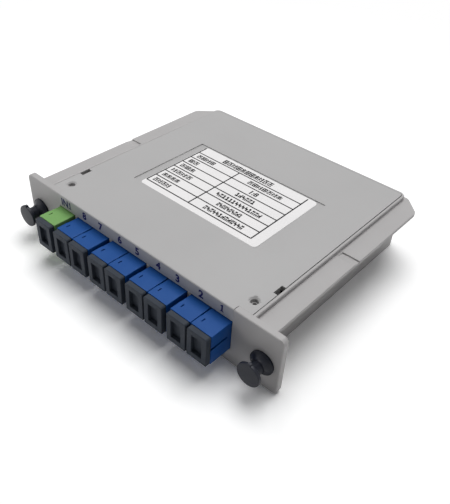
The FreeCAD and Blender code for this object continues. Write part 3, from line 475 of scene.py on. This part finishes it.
def tube_tree(name, count):
    """Fibres side by side on edge along a line through the points, with round bends."""
    tree, given, end = size_tree(name, [
        ("Radius", "Float"), ("Pitch", "Float"), ("Bend", "Float"), ("Material", "Material")])
    path = step(tree, "GeometryNodeMeshToCurve")
    bends = step(tree, "GeometryNodeFilletCurve", mode="POLY")
    bends.inputs["Count"].default_value = BEND_STEPS
    level = step(tree, "GeometryNodeSetCurveNormal", mode="Z_UP")
    ring = step(tree, "GeometryNodeCurvePrimitiveCircle")
    ring.inputs["Resolution"].default_value = RING_SIDES
    stack = step(tree, "GeometryNodeMeshLine")
    stack.inputs["Count"].default_value = count
    low = step(tree, "ShaderNodeMath", operation="MULTIPLY")
    low.inputs[1].default_value = -(count - 1) / 2
    first = step(tree, "ShaderNodeCombineXYZ")
    pitch = step(tree, "ShaderNodeCombineXYZ")
    rings = step(tree, "GeometryNodeInstanceOnPoints")
    section = step(tree, "GeometryNodeRealizeInstances")
    skin = step(tree, "GeometryNodeCurveToMesh")
    skin.inputs["Fill Caps"].default_value = True
    wire(tree, given, "Places", path, "Mesh")
    wire(tree, path, "Curve", bends, "Curve")
    wire(tree, given, "Bend", bends, "Radius")
    wire(tree, bends, "Curve", level, "Curve")
    wire(tree, given, "Radius", ring, "Radius")
    wire(tree, given, "Pitch", low, 0)
    wire(tree, low, 0, first, "Y")
    wire(tree, given, "Pitch", pitch, "Y")
    wire(tree, first, "Vector", stack, "Start Location")
    wire(tree, pitch, "Vector", stack, "Offset")
    wire(tree, stack, "Mesh", rings, "Points")
    wire(tree, ring, "Curve", rings, "Instance")
    wire(tree, rings, "Instances", section, "Geometry")
    wire(tree, level, "Curve", skin, "Curve")
    wire(tree, section, "Geometry", skin, "Profile Curve")
    finish_tree(tree, skin, "Mesh", given, end)
    return tree


def chain(points):
    return [(i, i + 1) for i in range(len(points) - 1)]


buffer_white = moulded_plastic("buffer_white", tone(236, 236, 232), tone(230, 230, 226), 0.4, 0.1)
ribbon_acrylate = moulded_plastic("ribbon_acrylate", tone(206, 214, 210), tone(196, 206, 204),
                                  0.2, 0.05)
single = tube_tree("buffered_fibre", 1)
ports = port_spots(0)
fan_x = (ports[1].x + ports[8].x) / 2

input_route = [Vector((ports[0].x, y, AXIS_Z)) for y in (FIBRE_START, ARRAY_FRONT)]
input_fibre = grow("input_fibre", single, input_route, chain(input_route), Radius=FIBRE_RADIUS,
                   Pitch=0.0, Bend=FAN_BEND, Material=buffer_white)

strands = []
for slot in range(RIBBON_FIBRES):
    x = ports[slot + 1].x
    lane = fan_x + (slot - HALFWAY) * FAN_PITCH
    bend = FAN_BEND + (HALFWAY - abs(slot - HALFWAY)) * FAN_PITCH
    across, along = abs(lane - x), FAN_FRONT - BOOT_END
    turn = (math.atan2(across - 2 * bend, along)
            + math.asin(2 * bend / math.hypot(across - 2 * bend, along)))
    reach = bend * math.tan(turn / 2)
    route = [Vector((x, FIBRE_START, AXIS_Z)), Vector((x, BOOT_END + reach, AXIS_Z)),
             Vector((lane, FAN_FRONT - reach, AXIS_Z)),
             Vector((lane, FAN_FRONT + FAN_ENTRY, AXIS_Z))]
    strands.append(grow("output_fibre", single, route, chain(route), Radius=FIBRE_RADIUS,
                        Pitch=0.0, Bend=bend, Material=buffer_white))
output_fibres = strands[0]
bundle = bmesh.new()
for strand in strands:
    bundle.from_mesh(strand.data)
bundle.to_mesh(output_fibres.data)
bundle.free()
for strand in strands[1:]:
    bpy.data.objects.remove(strand)

module_x = ports[0].x
lane_y = MODULE_REAR + RIBBON_BEND
ribbon_route = [Vector(spot) for spot in (
    (module_x, ARRAY_REAR, AXIS_Z), (module_x, lane_y, AXIS_Z), (fan_x, lane_y, AXIS_Z),
    (fan_x, MODULE_REAR - FAN_ENTRY, AXIS_Z))]
ribbon = grow("ribbon_of_eight", tube_tree("fibre_ribbon", RIBBON_FIBRES), ribbon_route,
              chain(ribbon_route), Radius=RIBBON_RADIUS, Pitch=RIBBON_PITCH, Bend=RIBBON_BEND,
              Material=ribbon_acrylate)
for piece, node, finish in ((input_fibre, "input_pigtail", "buffer_white"),
                            (output_fibres, "output_pigtails", "buffer_white"),
                            (ribbon, "fibre_ribbon", "ribbon_clear")):
    smooth(piece, FIBRE_FOLD)
    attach(piece, "housing")
    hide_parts(node)

# ------------------------------------------------------------------ lid
# The lid is a flat moulding in the same ABS, let in flush with the rim of the tray. Its
# front lip drops over the adapters, two countersunk holes take screws, and a tongue in each
# side slot snaps into the wall.
LID_EDGE = 0.12 * MM
SEAT_SIDE, SEAM_EASE = 51 * MM, 0.2 * MM
# how far the ends of the lip close up towards the panel, below and at the top skin
SKIN_UNDER, CLOSED_BELOW, CLOSED_ON_TOP = 24 * MM, 0.95, 0.5
lid_abs = moulded_plastic("lid_abs", tone(168, 167, 167), tone(162, 161, 161), 0.5, 0.35, 0.35, 30)
lid = rounded_copy("top_cover", LID_EDGE, lid_abs, crisp=front_seam)
for vert in lid.data.vertices:
    spot = vert.co
    if spot.y < NEAR_FRONT and abs(abs(spot.x) - LIP_END) < 2 * SEAM_REACH:
        share = CLOSED_BELOW if spot.z < SKIN_UNDER else CLOSED_ON_TOP
        spot.x += share * (math.copysign(LIP_END, spot.x) - spot.x)
    elif spot.y > 0 and spot.x > SEAT_SIDE - 2 * SEAM_REACH:
        spot.x -= SEAM_EASE
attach(lid, "housing")
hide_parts("top_cover")

# ------------------------------------------------------------------ label
# A self-adhesive paper label lies in the shallow recess of the lid. A ruled table of seven
# rows is printed on it in black; its entries are only neutral marks, and the ratio that says
# what the module does.
LABEL_TOP, LABEL_EDGE = 24.6 * MM, 0.02 * MM
INK = 0.012 * MM
CAPITAL_SHARE = 0.7
RULE_WIDTH = 0.58 * MM
TABLE_LEFT, TABLE_SPLIT, TABLE_RIGHT = -29.75 * MM, -6.4 * MM, 25.25 * MM
TABLE_FRONT, TABLE_HEAD, TABLE_BACK = 29.65 * MM, 60.6 * MM, 65.5 * MM
TABLE_ROWS = 6
ROW_PITCH = (TABLE_HEAD - TABLE_FRONT) / TABLE_ROWS
# bars of each neutral mark in a unit box: left, bottom, width, height
PLAIN_MARKS = [
    [(0, 0, .36, .66), (.3, .34, .3, .32), (.54, 0, .36, 1)],
    [(0, .66, .9, .34), (0, 0, .38, .5), (.52, 0, .38, .5)],
    [(0, 0, .9, .33), (.27, .3, .36, .4), (0, .67, .6, .33)],
    [(0, .34, .36, .66), (.3, .34, .3, .32), (.54, 0, .36, .7)],
    [(0, 0, .36, 1), (.46, .56, .44, .44), (.46, 0, .44, .42)],
]
DENSE_MARKS = [
    [(0, 0, .2, 1), (.76, 0, .2, 1), (.1, .8, .7, .2), (.1, .4, .7, .2), (.1, 0, .7, .2),
     (.39, .1, .18, .8)],
    [(0, .79, .96, .21), (.38, .42, .2, .5), (0, .4, .96, .2), (.04, 0, .26, .3),
     (.66, 0, .26, .3), (.34, 0, .24, .22)],
    [(0, 0, .2, .96), (.15, .6, .3, .2), (.15, .24, .25, .18), (.52, .76, .44, .2),
     (.52, .42, .44, .19), (.64, 0, .2, .85), (.44, 0, .52, .19)],
    [(.36, 0, .22, 1), (0, .66, .96, .21), (0, .34, .96, .19), (.02, 0, .22, .28),
     (.72, 0, .22, .28)],
]
# entries of the table, top row first: start of the word, its letters and their pitch
TITLE = (-17.2 * MM, 11, 2.42 * MM)
LEFT_WORDS = [(4, 2.5), (2, 2.7), (3, 2.7), (4, 2.8), (4, 2.3), (4, 2.3)]
LEFT_START = -28.0 * MM
RIGHT_WORDS = [(0.5, 7, 2.5), (None, 0, 0), (2.8, 6, 1.6), (-3.0, 14, 1.63), (2.0, 10, 1.24),
               (-0.2, 13, 1.52)]
MARK_TALL, TITLE_TALL, MARK_SHARE = 2.5 * MM, 3.0 * MM, 0.93
TITLE_SEED, ENTRY_SEED = 3, 7
RATIO_X, RATIO_WEIGHT = 7.55 * MM, 0.12 * MM


def rule_tree():
    """Printed bars of one size, centred on the points."""
    tree, given, end = size_tree("printed_rules", [("Size", "Vector"), ("Material", "Material")])
    bar = step(tree, "GeometryNodeMeshCube")
    spread = step(tree, "GeometryNodeInstanceOnPoints")
    wire(tree, given, "Size", bar, "Size")
    wire(tree, given, "Places", spread, "Points")
    wire(tree, bar, "Mesh", spread, "Instance")
    finish_tree(tree, spread, "Instances", given, end)
    return tree


def mark_tree(name, mark_shapes):
    """A neutral mark on every point, drawn by a fixed seed from a table of bars."""
    tree, given, end = size_tree(name, [
        ("Mark size", "Vector"), ("Seed", "Int"), ("Material", "Material")])
    shapes = step(tree, "GeometryNodeJoinGeometry")
    for bars in mark_shapes:
        mark = step(tree, "GeometryNodeJoinGeometry")
        for left, low, wide, high in bars:
            bar = step(tree, "GeometryNodeMeshCube")
            bar.inputs["Size"].default_value = (wide, high, 1)
            place = step(tree, "GeometryNodeTransform")
            place.inputs["Translation"].default_value = (left + wide / 2, low + high / 2, 0)
            wire(tree, bar, "Mesh", place, "Geometry")
            wire(tree, place, "Geometry", mark, "Geometry")
        one = step(tree, "GeometryNodeGeometryToInstance")
        wire(tree, mark, "Geometry", one, "Geometry")
        wire(tree, one, "Instances", shapes, "Geometry")
    draw = step(tree, "FunctionNodeRandomValue", data_type="INT")
    draw.inputs[4].default_value = 0
    draw.inputs[5].default_value = len(mark_shapes) - 1
    spread = step(tree, "GeometryNodeInstanceOnPoints")
    spread.inputs["Pick Instance"].default_value = True
    wire(tree, given, "Places", spread, "Points")
    wire(tree, shapes, "Geometry", spread, "Instance")
    wire(tree, given, "Seed", draw, "Seed")
    tree.links.new(draw.outputs[2], spread.inputs["Instance Index"])
    wire(tree, given, "Mark size", spread, "Scale")
    finish_tree(tree, spread, "Instances", given, end)
    return tree


def printed_text(words, height, weight, spot, turn, ink):
    """Printed characters as a thin solid, their strokes made that much bolder."""
    curve = bpy.data.curves.new(words, "FONT")
    curve.body = words
    curve.size = height / CAPITAL_SHARE
    curve.align_x = "CENTER"
    curve.extrude = INK
    curve.offset = weight
    holder = bpy.data.objects.new(words, curve)
    bpy.context.scene.collection.objects.link(holder)
    graph = bpy.context.evaluated_depsgraph_get()
    mesh = bpy.data.meshes.new_from_object(holder.evaluated_get(graph), depsgraph=graph)
    bpy.data.objects.remove(holder)
    mesh.transform(Matrix.Translation(spot) @ turn @ Matrix.Translation((0, -height / 2, 0)))
    mesh.materials.clear()
    mesh.materials.append(ink)
    return mesh


def joined(name, meshes, ink):
    """One piece from several meshes of the same ink."""
    whole = bmesh.new()
    for mesh in meshes:
        whole.from_mesh(mesh)
    mesh = bpy.data.meshes.new(name)
    whole.to_mesh(mesh)
    whole.free()
    mesh.materials.append(ink)
    piece = bpy.data.objects.new(name, mesh)
    bpy.context.scene.collection.objects.link(piece)
    return piece


label_paper = moulded_plastic("label_paper", tone(234, 232, 232), tone(229, 228, 228), 0.65, 0.1,
                              0.2, 15)
black_ink = moulded_plastic("black_ink", tone(12, 12, 14), tone(18, 18, 20), 0.7, 0.1, 0.2, 5, 0.2)
paper = rounded_copy("label", LABEL_EDGE, label_paper)
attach(paper, "housing")
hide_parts("label")

rules = rule_tree()
level = LABEL_TOP + INK / 2
wide, deep = TABLE_RIGHT - TABLE_LEFT, TABLE_BACK - TABLE_FRONT
rows = [(TABLE_LEFT + wide / 2, TABLE_FRONT + n * ROW_PITCH, level)
        for n in range(TABLE_ROWS + 1)]
columns = [(x, TABLE_FRONT + deep / 2, level) for x in (TABLE_LEFT, TABLE_RIGHT)]
split = [(TABLE_SPLIT, (TABLE_FRONT + TABLE_HEAD) / 2, level)]
table_parts = [
    grow("rows", rules, rows, Size=(wide, RULE_WIDTH, INK), Material=black_ink),
    grow("sides", rules, columns, Size=(RULE_WIDTH, deep, INK), Material=black_ink),
    grow("split", rules, split, Size=(RULE_WIDTH, TABLE_HEAD - TABLE_FRONT, INK),
         Material=black_ink)]


def word(start, row_middle, letters, pitch, height):
    return [(start + n * pitch, row_middle - height / 2, level) for n in range(letters)]


plain = mark_tree("plain_marks", PLAIN_MARKS)
dense = mark_tree("dense_marks", DENSE_MARKS)
title_row = (TABLE_HEAD + TABLE_BACK) / 2
start, count, pitch = TITLE
table_parts.append(grow("title", dense, word(start, title_row, count, pitch, TITLE_TALL),
                        Seed=TITLE_SEED, Material=black_ink,
                        **{"Mark size": (MARK_SHARE * pitch, TITLE_TALL, INK)}))
for row in range(TABLE_ROWS):
    middle = TABLE_HEAD - (row + 0.5) * ROW_PITCH
    count, pitch = LEFT_WORDS[row]
    entries = [(dense, LEFT_START, count, pitch * MM)]
    start, count, pitch = RIGHT_WORDS[row]
    if count:
        entries.append((dense if row == 0 else plain, start * MM, count, pitch * MM))
    for marks, start, count, pitch in entries:
        table_parts.append(grow("entry", marks, word(start, middle, count, pitch, MARK_TALL),
                                Seed=ENTRY_SEED + row, Material=black_ink,
                                **{"Mark size": (MARK_SHARE * pitch, MARK_TALL, INK)}))
ratio_spot = Vector((RATIO_X, TABLE_HEAD - 1.5 * ROW_PITCH, level))
meshes = [part.data for part in table_parts]
meshes.append(printed_text("1:8", MARK_TALL, RATIO_WEIGHT, ratio_spot, Matrix(), black_ink))
table = joined("label_print", meshes, black_ink)
for part in table_parts:
    bpy.data.objects.remove(part)
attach(table, "housing")

# ------------------------------------------------------------------ port marks
# Pad-printed in dark blue on the front of the lip, above the ports: IN 1 at the left, then
# the outputs from 8 down to 1.
MARK_HEIGHT, MARK_WEIGHT = 3.0 * MM, 0.16 * MM
MARK_Z, LIP_FRONT = 22.35 * MM, -2.5 * MM
IN_LEFT, ONE_RIGHT = 1.1 * MM, 2.1 * MM
mark_ink = moulded_plastic("mark_ink", tone(16, 14, 84), tone(12, 12, 72), 0.5, 0.1, 0.2, 5, 0.2)
facing_front = Matrix.Rotation(math.pi / 2, 4, "X")


def numeral_one(spot):
    """A numeral 1 with a flag and a foot, in tenths of the marks' height."""
    one = bmesh.new()
    rim = [one.verts.new((x, y, 0)) for x, y in (
        (-2.4, 0), (2.4, 0), (2.4, 1.2), (1.1, 1.2), (1.1, 10), (-.2, 10), (-2.4, 8.2),
        (-2.4, 6.9), (-1.1, 7.6), (-1.1, 1.2), (-2.4, 1.2))]
    back = one.faces.new(rim)
    grown = bmesh.ops.extrude_face_region(one, geom=[back])["geom"]
    front = [vert for vert in grown if isinstance(vert, bmesh.types.BMVert)]
    bmesh.ops.translate(one, verts=front, vec=(0, 0, 20 * INK / MARK_HEIGHT))
    bmesh.ops.recalc_face_normals(one, faces=one.faces)
    scale = MARK_HEIGHT / 10
    one.transform(Matrix.Translation(spot) @ facing_front
                  @ Matrix.Translation((0, -MARK_HEIGHT / 2, -INK))
                  @ Matrix.Diagonal((scale,) * 3 + (1,)))
    mesh = bpy.data.meshes.new("numeral_one")
    one.to_mesh(mesh)
    one.free()
    mesh.materials.append(mark_ink)
    return mesh


marks = []
for port, spot in zip(PORTS, port_spots(LIP_FRONT)):
    spot.z = MARK_Z
    if port == "in":
        marks.append(printed_text("IN", MARK_HEIGHT, MARK_WEIGHT, spot - Vector((IN_LEFT, 0, 0)),
                                  facing_front, mark_ink))
        marks.append(numeral_one(spot + Vector((ONE_RIGHT, 0, 0))))
    elif port == "1":
        marks.append(numeral_one(spot))
    else:
        marks.append(printed_text(port, MARK_HEIGHT, MARK_WEIGHT, spot, facing_front, mark_ink))
port_marks = joined("port_marks", marks, mark_ink)
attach(port_marks, "housing")

# ------------------------------------------------------------------ dust caps
# A charcoal cap of soft PVC closes every port: a plate with a finger well, and a
# square stem behind it that pushes over the sleeve tube.
CAP_EDGE = 0.1 * MM
cap_pvc = moulded_plastic("cap_pvc", tone(46, 52, 61), tone(39, 45, 54), 0.6, 0.3, 0.3, 6, 0.2)
for port in PORTS:
    cap = rounded_copy("cap_" + port, CAP_EDGE, cap_pvc, 2, ADAPTER_LINE)
    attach(cap, "cap_%s_body" % port)
    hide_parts("cap_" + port)

# ------------------------------------------------------------------ latches
# A two-part nylon push latch in each ear: a slit barrel snapped in from the front, whose
# washer rises as a flared neck, and a pin with a broad head that spreads it when pushed home.
LATCH_X, LATCH_Z = 58.2 * MM, 11 * MM
WASHER_EDGE = 0.1 * MM
WASHER_FRONT, WASHER_REAR, FLARE_FRONT = -3.3 * MM, -2.5 * MM, -5.25 * MM
WASHER_RADIUS, BORE_RADIUS, FLARE_TIP = 4.625 * MM, 2.55 * MM, 2.72 * MM
HEAD_FRONT, HEAD_REAR, PIN_END = -10 * MM, -8.7 * MM, 5.5 * MM
HEAD_RADIUS, PIN_RADIUS = 4.55 * MM, 2.5 * MM
HEAD_ROUND, NECK_ROUND, PIN_CHAMFER = 0.25 * MM, 0.5 * MM, 0.4 * MM
LUG_WIDTH, LUG_TOP, LUG_SUNK, LUG_EDGE, LUG_SHARE = 1.2 * MM, 5.05 * MM, 0.5 * MM, 0.15 * MM, 0.9
FLARE_ROOT, FLARE_HOLLOW = 4.35 * MM, 2.4
WASHER_SUNK, BARREL_LINE = 0.05 * MM, 0.3 * MM
TURN_STEPS, ROUND_STEPS, FLARE_STEPS = 96, 6, 16


def rounding(middle_r, middle_y, radius, start, end):
    """Points of a rounded edge in a turned profile, between two angles in degrees."""
    points = []
    for n in range(ROUND_STEPS + 1):
        angle = math.radians(start + (end - start) * n / ROUND_STEPS)
        points.append((middle_r + radius * math.cos(angle), middle_y + radius * math.sin(angle)))
    return points


def turned(name, profile, x, z, skin):
    """Piece turned about a line along Y, from points of radius and depth."""
    shape = bmesh.new()
    rings = []
    for radius, y in profile:
        ring = []
        for n in range(TURN_STEPS if radius > 0 else 1):
            angle = 2 * math.pi * n / TURN_STEPS
            ring.append(shape.verts.new((x + radius * math.cos(angle), y,
                                         z + radius * math.sin(angle))))
        rings.append(ring)
    for first, second in zip(rings, rings[1:]):
        for n in range(TURN_STEPS):
            m = (n + 1) % TURN_STEPS
            if len(first) == 1:
                shape.faces.new((first[0], second[n], second[m]))
            elif len(second) == 1:
                shape.faces.new((first[n], second[0], first[m]))
            else:
                shape.faces.new((first[n], second[n], second[m], first[m]))
    bmesh.ops.recalc_face_normals(shape, faces=shape.faces)
    mesh = bpy.data.meshes.new(name)
    shape.to_mesh(mesh)
    shape.free()
    mesh.materials.append(skin)
    piece = bpy.data.objects.new(name, mesh)
    bpy.context.scene.collection.objects.link(piece)
    return piece


def lug_shape(x, z):
    """Small key on top of the head, which shows which way the pin is turned."""
    lug = bmesh.new()
    bmesh.ops.create_cube(lug, size=1)
    low, high = HEAD_RADIUS - LUG_SUNK, LUG_TOP
    deep = LUG_SHARE * (HEAD_REAR - HEAD_FRONT)
    lug.transform(Matrix.Translation((x, (HEAD_FRONT + HEAD_REAR) / 2, z + (low + high) / 2))
                  @ Matrix.Diagonal((LUG_WIDTH, deep, high - low, 1)))
    bmesh.ops.bevel(lug, geom=lug.edges[:], offset=LUG_EDGE, segments=2, affect="EDGES")
    return lug


latch_nylon = moulded_plastic("latch_nylon", tone(30, 33, 43), tone(23, 26, 36), 0.4, 0.25, 0.3,
                              5, 0.22)
# the washer's rim, then a hollow curve that narrows to the tip, and back through the bore
rim = WASHER_RADIUS - WASHER_EDGE
flare_profile = [(BORE_RADIUS, WASHER_REAR), (rim, WASHER_REAR)]
flare_profile += rounding(rim, WASHER_REAR - WASHER_EDGE, WASHER_EDGE, 90, 0)
flare_profile += rounding(rim, WASHER_FRONT + WASHER_EDGE, WASHER_EDGE, 0, -90)
for n in range(FLARE_STEPS + 1):
    along = n / FLARE_STEPS
    flare_profile.append((FLARE_TIP + (FLARE_ROOT - FLARE_TIP) * (1 - along) ** FLARE_HOLLOW,
                          WASHER_FRONT + (FLARE_FRONT - WASHER_FRONT) * along))
flare_profile += [(BORE_RADIUS, FLARE_FRONT), (BORE_RADIUS, WASHER_REAR)]
head_profile = [(0, HEAD_FRONT)]
rim = HEAD_RADIUS - HEAD_ROUND
head_profile += rounding(rim, HEAD_FRONT + HEAD_ROUND, HEAD_ROUND, -90, 0)
head_profile += rounding(rim, HEAD_REAR - HEAD_ROUND, HEAD_ROUND, 0, 90)
head_profile += rounding(PIN_RADIUS + NECK_ROUND, HEAD_REAR + NECK_ROUND, NECK_ROUND, 270, 180)
head_profile += [(PIN_RADIUS, PIN_END - PIN_CHAMFER), (PIN_RADIUS - PIN_CHAMFER, PIN_END),
                 (0, PIN_END)]
for side, x in (("left", -LATCH_X), ("right", LATCH_X)):
    grommet = rounded_copy("grommet_" + side, WASHER_EDGE, latch_nylon, 2, BARREL_LINE)
    barrel = bmesh.new()
    barrel.from_mesh(grommet.data)
    bmesh.ops.bisect_plane(barrel, geom=barrel.verts[:] + barrel.edges[:] + barrel.faces[:],
                           plane_co=(0, WASHER_REAR - WASHER_SUNK, 0), plane_no=(0, -1, 0),
                           clear_outer=True)
    cut = [line for line in barrel.edges if line.is_boundary]
    bmesh.ops.bridge_loops(barrel, edges=cut)
    flare = turned("flare", flare_profile, x, LATCH_Z, latch_nylon)
    barrel.from_mesh(flare.data)
    barrel.to_mesh(grommet.data)
    barrel.free()
    bpy.data.objects.remove(flare)
    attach(grommet, "housing")
    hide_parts("grommet_" + side)
    plunger = turned("push_pin_" + side, head_profile, x, LATCH_Z, latch_nylon)
    whole = lug_shape(x, LATCH_Z)
    whole.from_mesh(plunger.data)
    whole.to_mesh(plunger.data)
    whole.free()
    smooth(plunger)
    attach(plunger, "plunger_%s_body" % side)
    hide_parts("plunger_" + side)

# ------------------------------------------------------------------ room
# A pale floor under the tray, one broad lamp above it, a weak one at each side, and an even
# grey sky. The floor is a little brighter to the eye than to the tray and turns white away
# from it, and whatever looks past it sees white.
FLOOR_ALBEDO, FLOOR_SEEN = 0.9, 1.14
SHADOW_REACH, WHITE_REACH, FLOOR_REACH = 0.14, 0.4, 3.0
AIM = Vector((0, 0.045, 0.01))
AMBIENT = 0.07


def seen_directly(tree):
    """1 where a ray comes straight from the camera, or by way of gloss or glass."""
    ray = tree.nodes.new("ShaderNodeLightPath")
    direct = step(tree, "ShaderNodeMath", operation="MAXIMUM")
    wire(tree, ray, "Is Camera Ray", direct, 0)
    wire(tree, ray, "Is Transmission Ray", direct, 1)
    seen = step(tree, "ShaderNodeMath", operation="MAXIMUM")
    wire(tree, direct, 0, seen, 0)
    wire(tree, ray, "Is Glossy Ray", seen, 1)
    return seen


floor_paint = bpy.data.materials.new("floor_paint")
floor_paint.use_nodes = True
paint = floor_paint.node_tree
coat = paint.nodes["Principled BSDF"]
coat.inputs["Base Color"].default_value = (FLOOR_ALBEDO, FLOOR_ALBEDO, FLOOR_ALBEDO, 1)
coat.inputs["Roughness"].default_value = 0.9
seen_coat = step(paint, "ShaderNodeBsdfDiffuse")
seen_coat.inputs["Color"].default_value = (FLOOR_SEEN, FLOOR_SEEN, FLOOR_SEEN, 1)
either = step(paint, "ShaderNodeMixShader")
wire(paint, seen_directly(paint), 0, either, 0)
wire(paint, coat, 0, either, 1)
wire(paint, seen_coat, 0, either, 2)
white_floor = step(paint, "ShaderNodeEmission")
place = step(paint, "ShaderNodeTexCoord")
distance = step(paint, "ShaderNodeVectorMath", operation="LENGTH")
wire(paint, place, "Object", distance, 0)
away = step(paint, "ShaderNodeMapRange", interpolation_type="SMOOTHSTEP")
away.inputs["From Min"].default_value = SHADOW_REACH
away.inputs["From Max"].default_value = WHITE_REACH
wire(paint, distance, "Value", away, "Value")
seen_away = step(paint, "ShaderNodeMath", operation="MULTIPLY")
wire(paint, seen_directly(paint), 0, seen_away, 0)
wire(paint, away, "Result", seen_away, 1)
plain_floor = step(paint, "ShaderNodeMixShader")
wire(paint, seen_away, 0, plain_floor, 0)
wire(paint, either, 0, plain_floor, 1)
wire(paint, white_floor, 0, plain_floor, 2)
wire(paint, plain_floor, 0, paint.nodes["Material Output"], 0)
floor_mesh = bpy.data.meshes.new("floor")
floor_mesh.from_pydata([(-FLOOR_REACH, -FLOOR_REACH, 0), (FLOOR_REACH, -FLOOR_REACH, 0),
                        (FLOOR_REACH, FLOOR_REACH, 0), (-FLOOR_REACH, FLOOR_REACH, 0)],
                       [], [(0, 1, 2, 3)])
floor_mesh.materials.append(floor_paint)
floor = bpy.data.objects.new("floor", floor_mesh)
bpy.context.scene.collection.objects.link(floor)


def lamp(name, spot, size, power):
    """Square soft lamp aimed at the middle of the tray."""
    light = bpy.data.lights.new(name, "AREA")
    light.size = size
    light.energy = power
    holder = bpy.data.objects.new(name, light)
    holder.location = spot
    holder.rotation_euler = (AIM - Vector(spot)).to_track_quat("-Z", "Y").to_euler()
    bpy.context.scene.collection.objects.link(holder)


lamp("key_lamp", (-0.12, 0.36, 1.1), 0.88, 13)
lamp("left_lamp", (-0.26, -0.2, 0.16), 0.2, 0.3)
lamp("right_lamp", (0.45, 0.1, 0.25), 0.3, 0.18)

world = bpy.data.worlds.new("studio")
bpy.context.scene.world = world
world.use_nodes = True
sky = world.node_tree
ambient = sky.nodes["Background"]
ambient.inputs["Color"].default_value = (0.93, 0.96, 1.0, 1)
ambient.inputs["Strength"].default_value = AMBIENT
white = sky.nodes.new("ShaderNodeBackground")
white.inputs["Color"].default_value = (1, 1, 1, 1)
choice = sky.nodes.new("ShaderNodeMixShader")
wire(sky, seen_directly(sky), 0, choice, 0)
wire(sky, ambient, 0, choice, 1)
wire(sky, white, 0, choice, 2)
wire(sky, choice, 0, sky.nodes["World Output"], 0)

# The camera looks down at the front left corner from the right.
CAMERA_SPOT = Vector((0.125527, -0.108517, 0.157158))
YAW, PITCH, ROLL = (math.radians(a) for a in (-38.972, 39.339, 4.055))
LENS, SENSOR = 42.63, 36.0
forward = Vector((math.sin(YAW) * math.cos(PITCH), math.cos(YAW) * math.cos(PITCH),
                  -math.sin(PITCH)))
level = Vector((math.cos(YAW), -math.sin(YAW), 0))
upward = level.cross(forward)
right = math.cos(ROLL) * level + math.sin(ROLL) * upward
up = math.cos(ROLL) * upward - math.sin(ROLL) * level
lens = bpy.data.cameras.new("camera")
lens.lens = LENS
lens.sensor_width = SENSOR
camera = bpy.data.objects.new("camera", lens)
facing = Matrix((right, up, -forward)).transposed().to_4x4()
camera.matrix_world = Matrix.Translation(CAMERA_SPOT) @ facing
bpy.context.scene.collection.objects.link(camera)
bpy.context.scene.camera = camera
bpy.context.scene.view_settings.view_transform = "Standard"
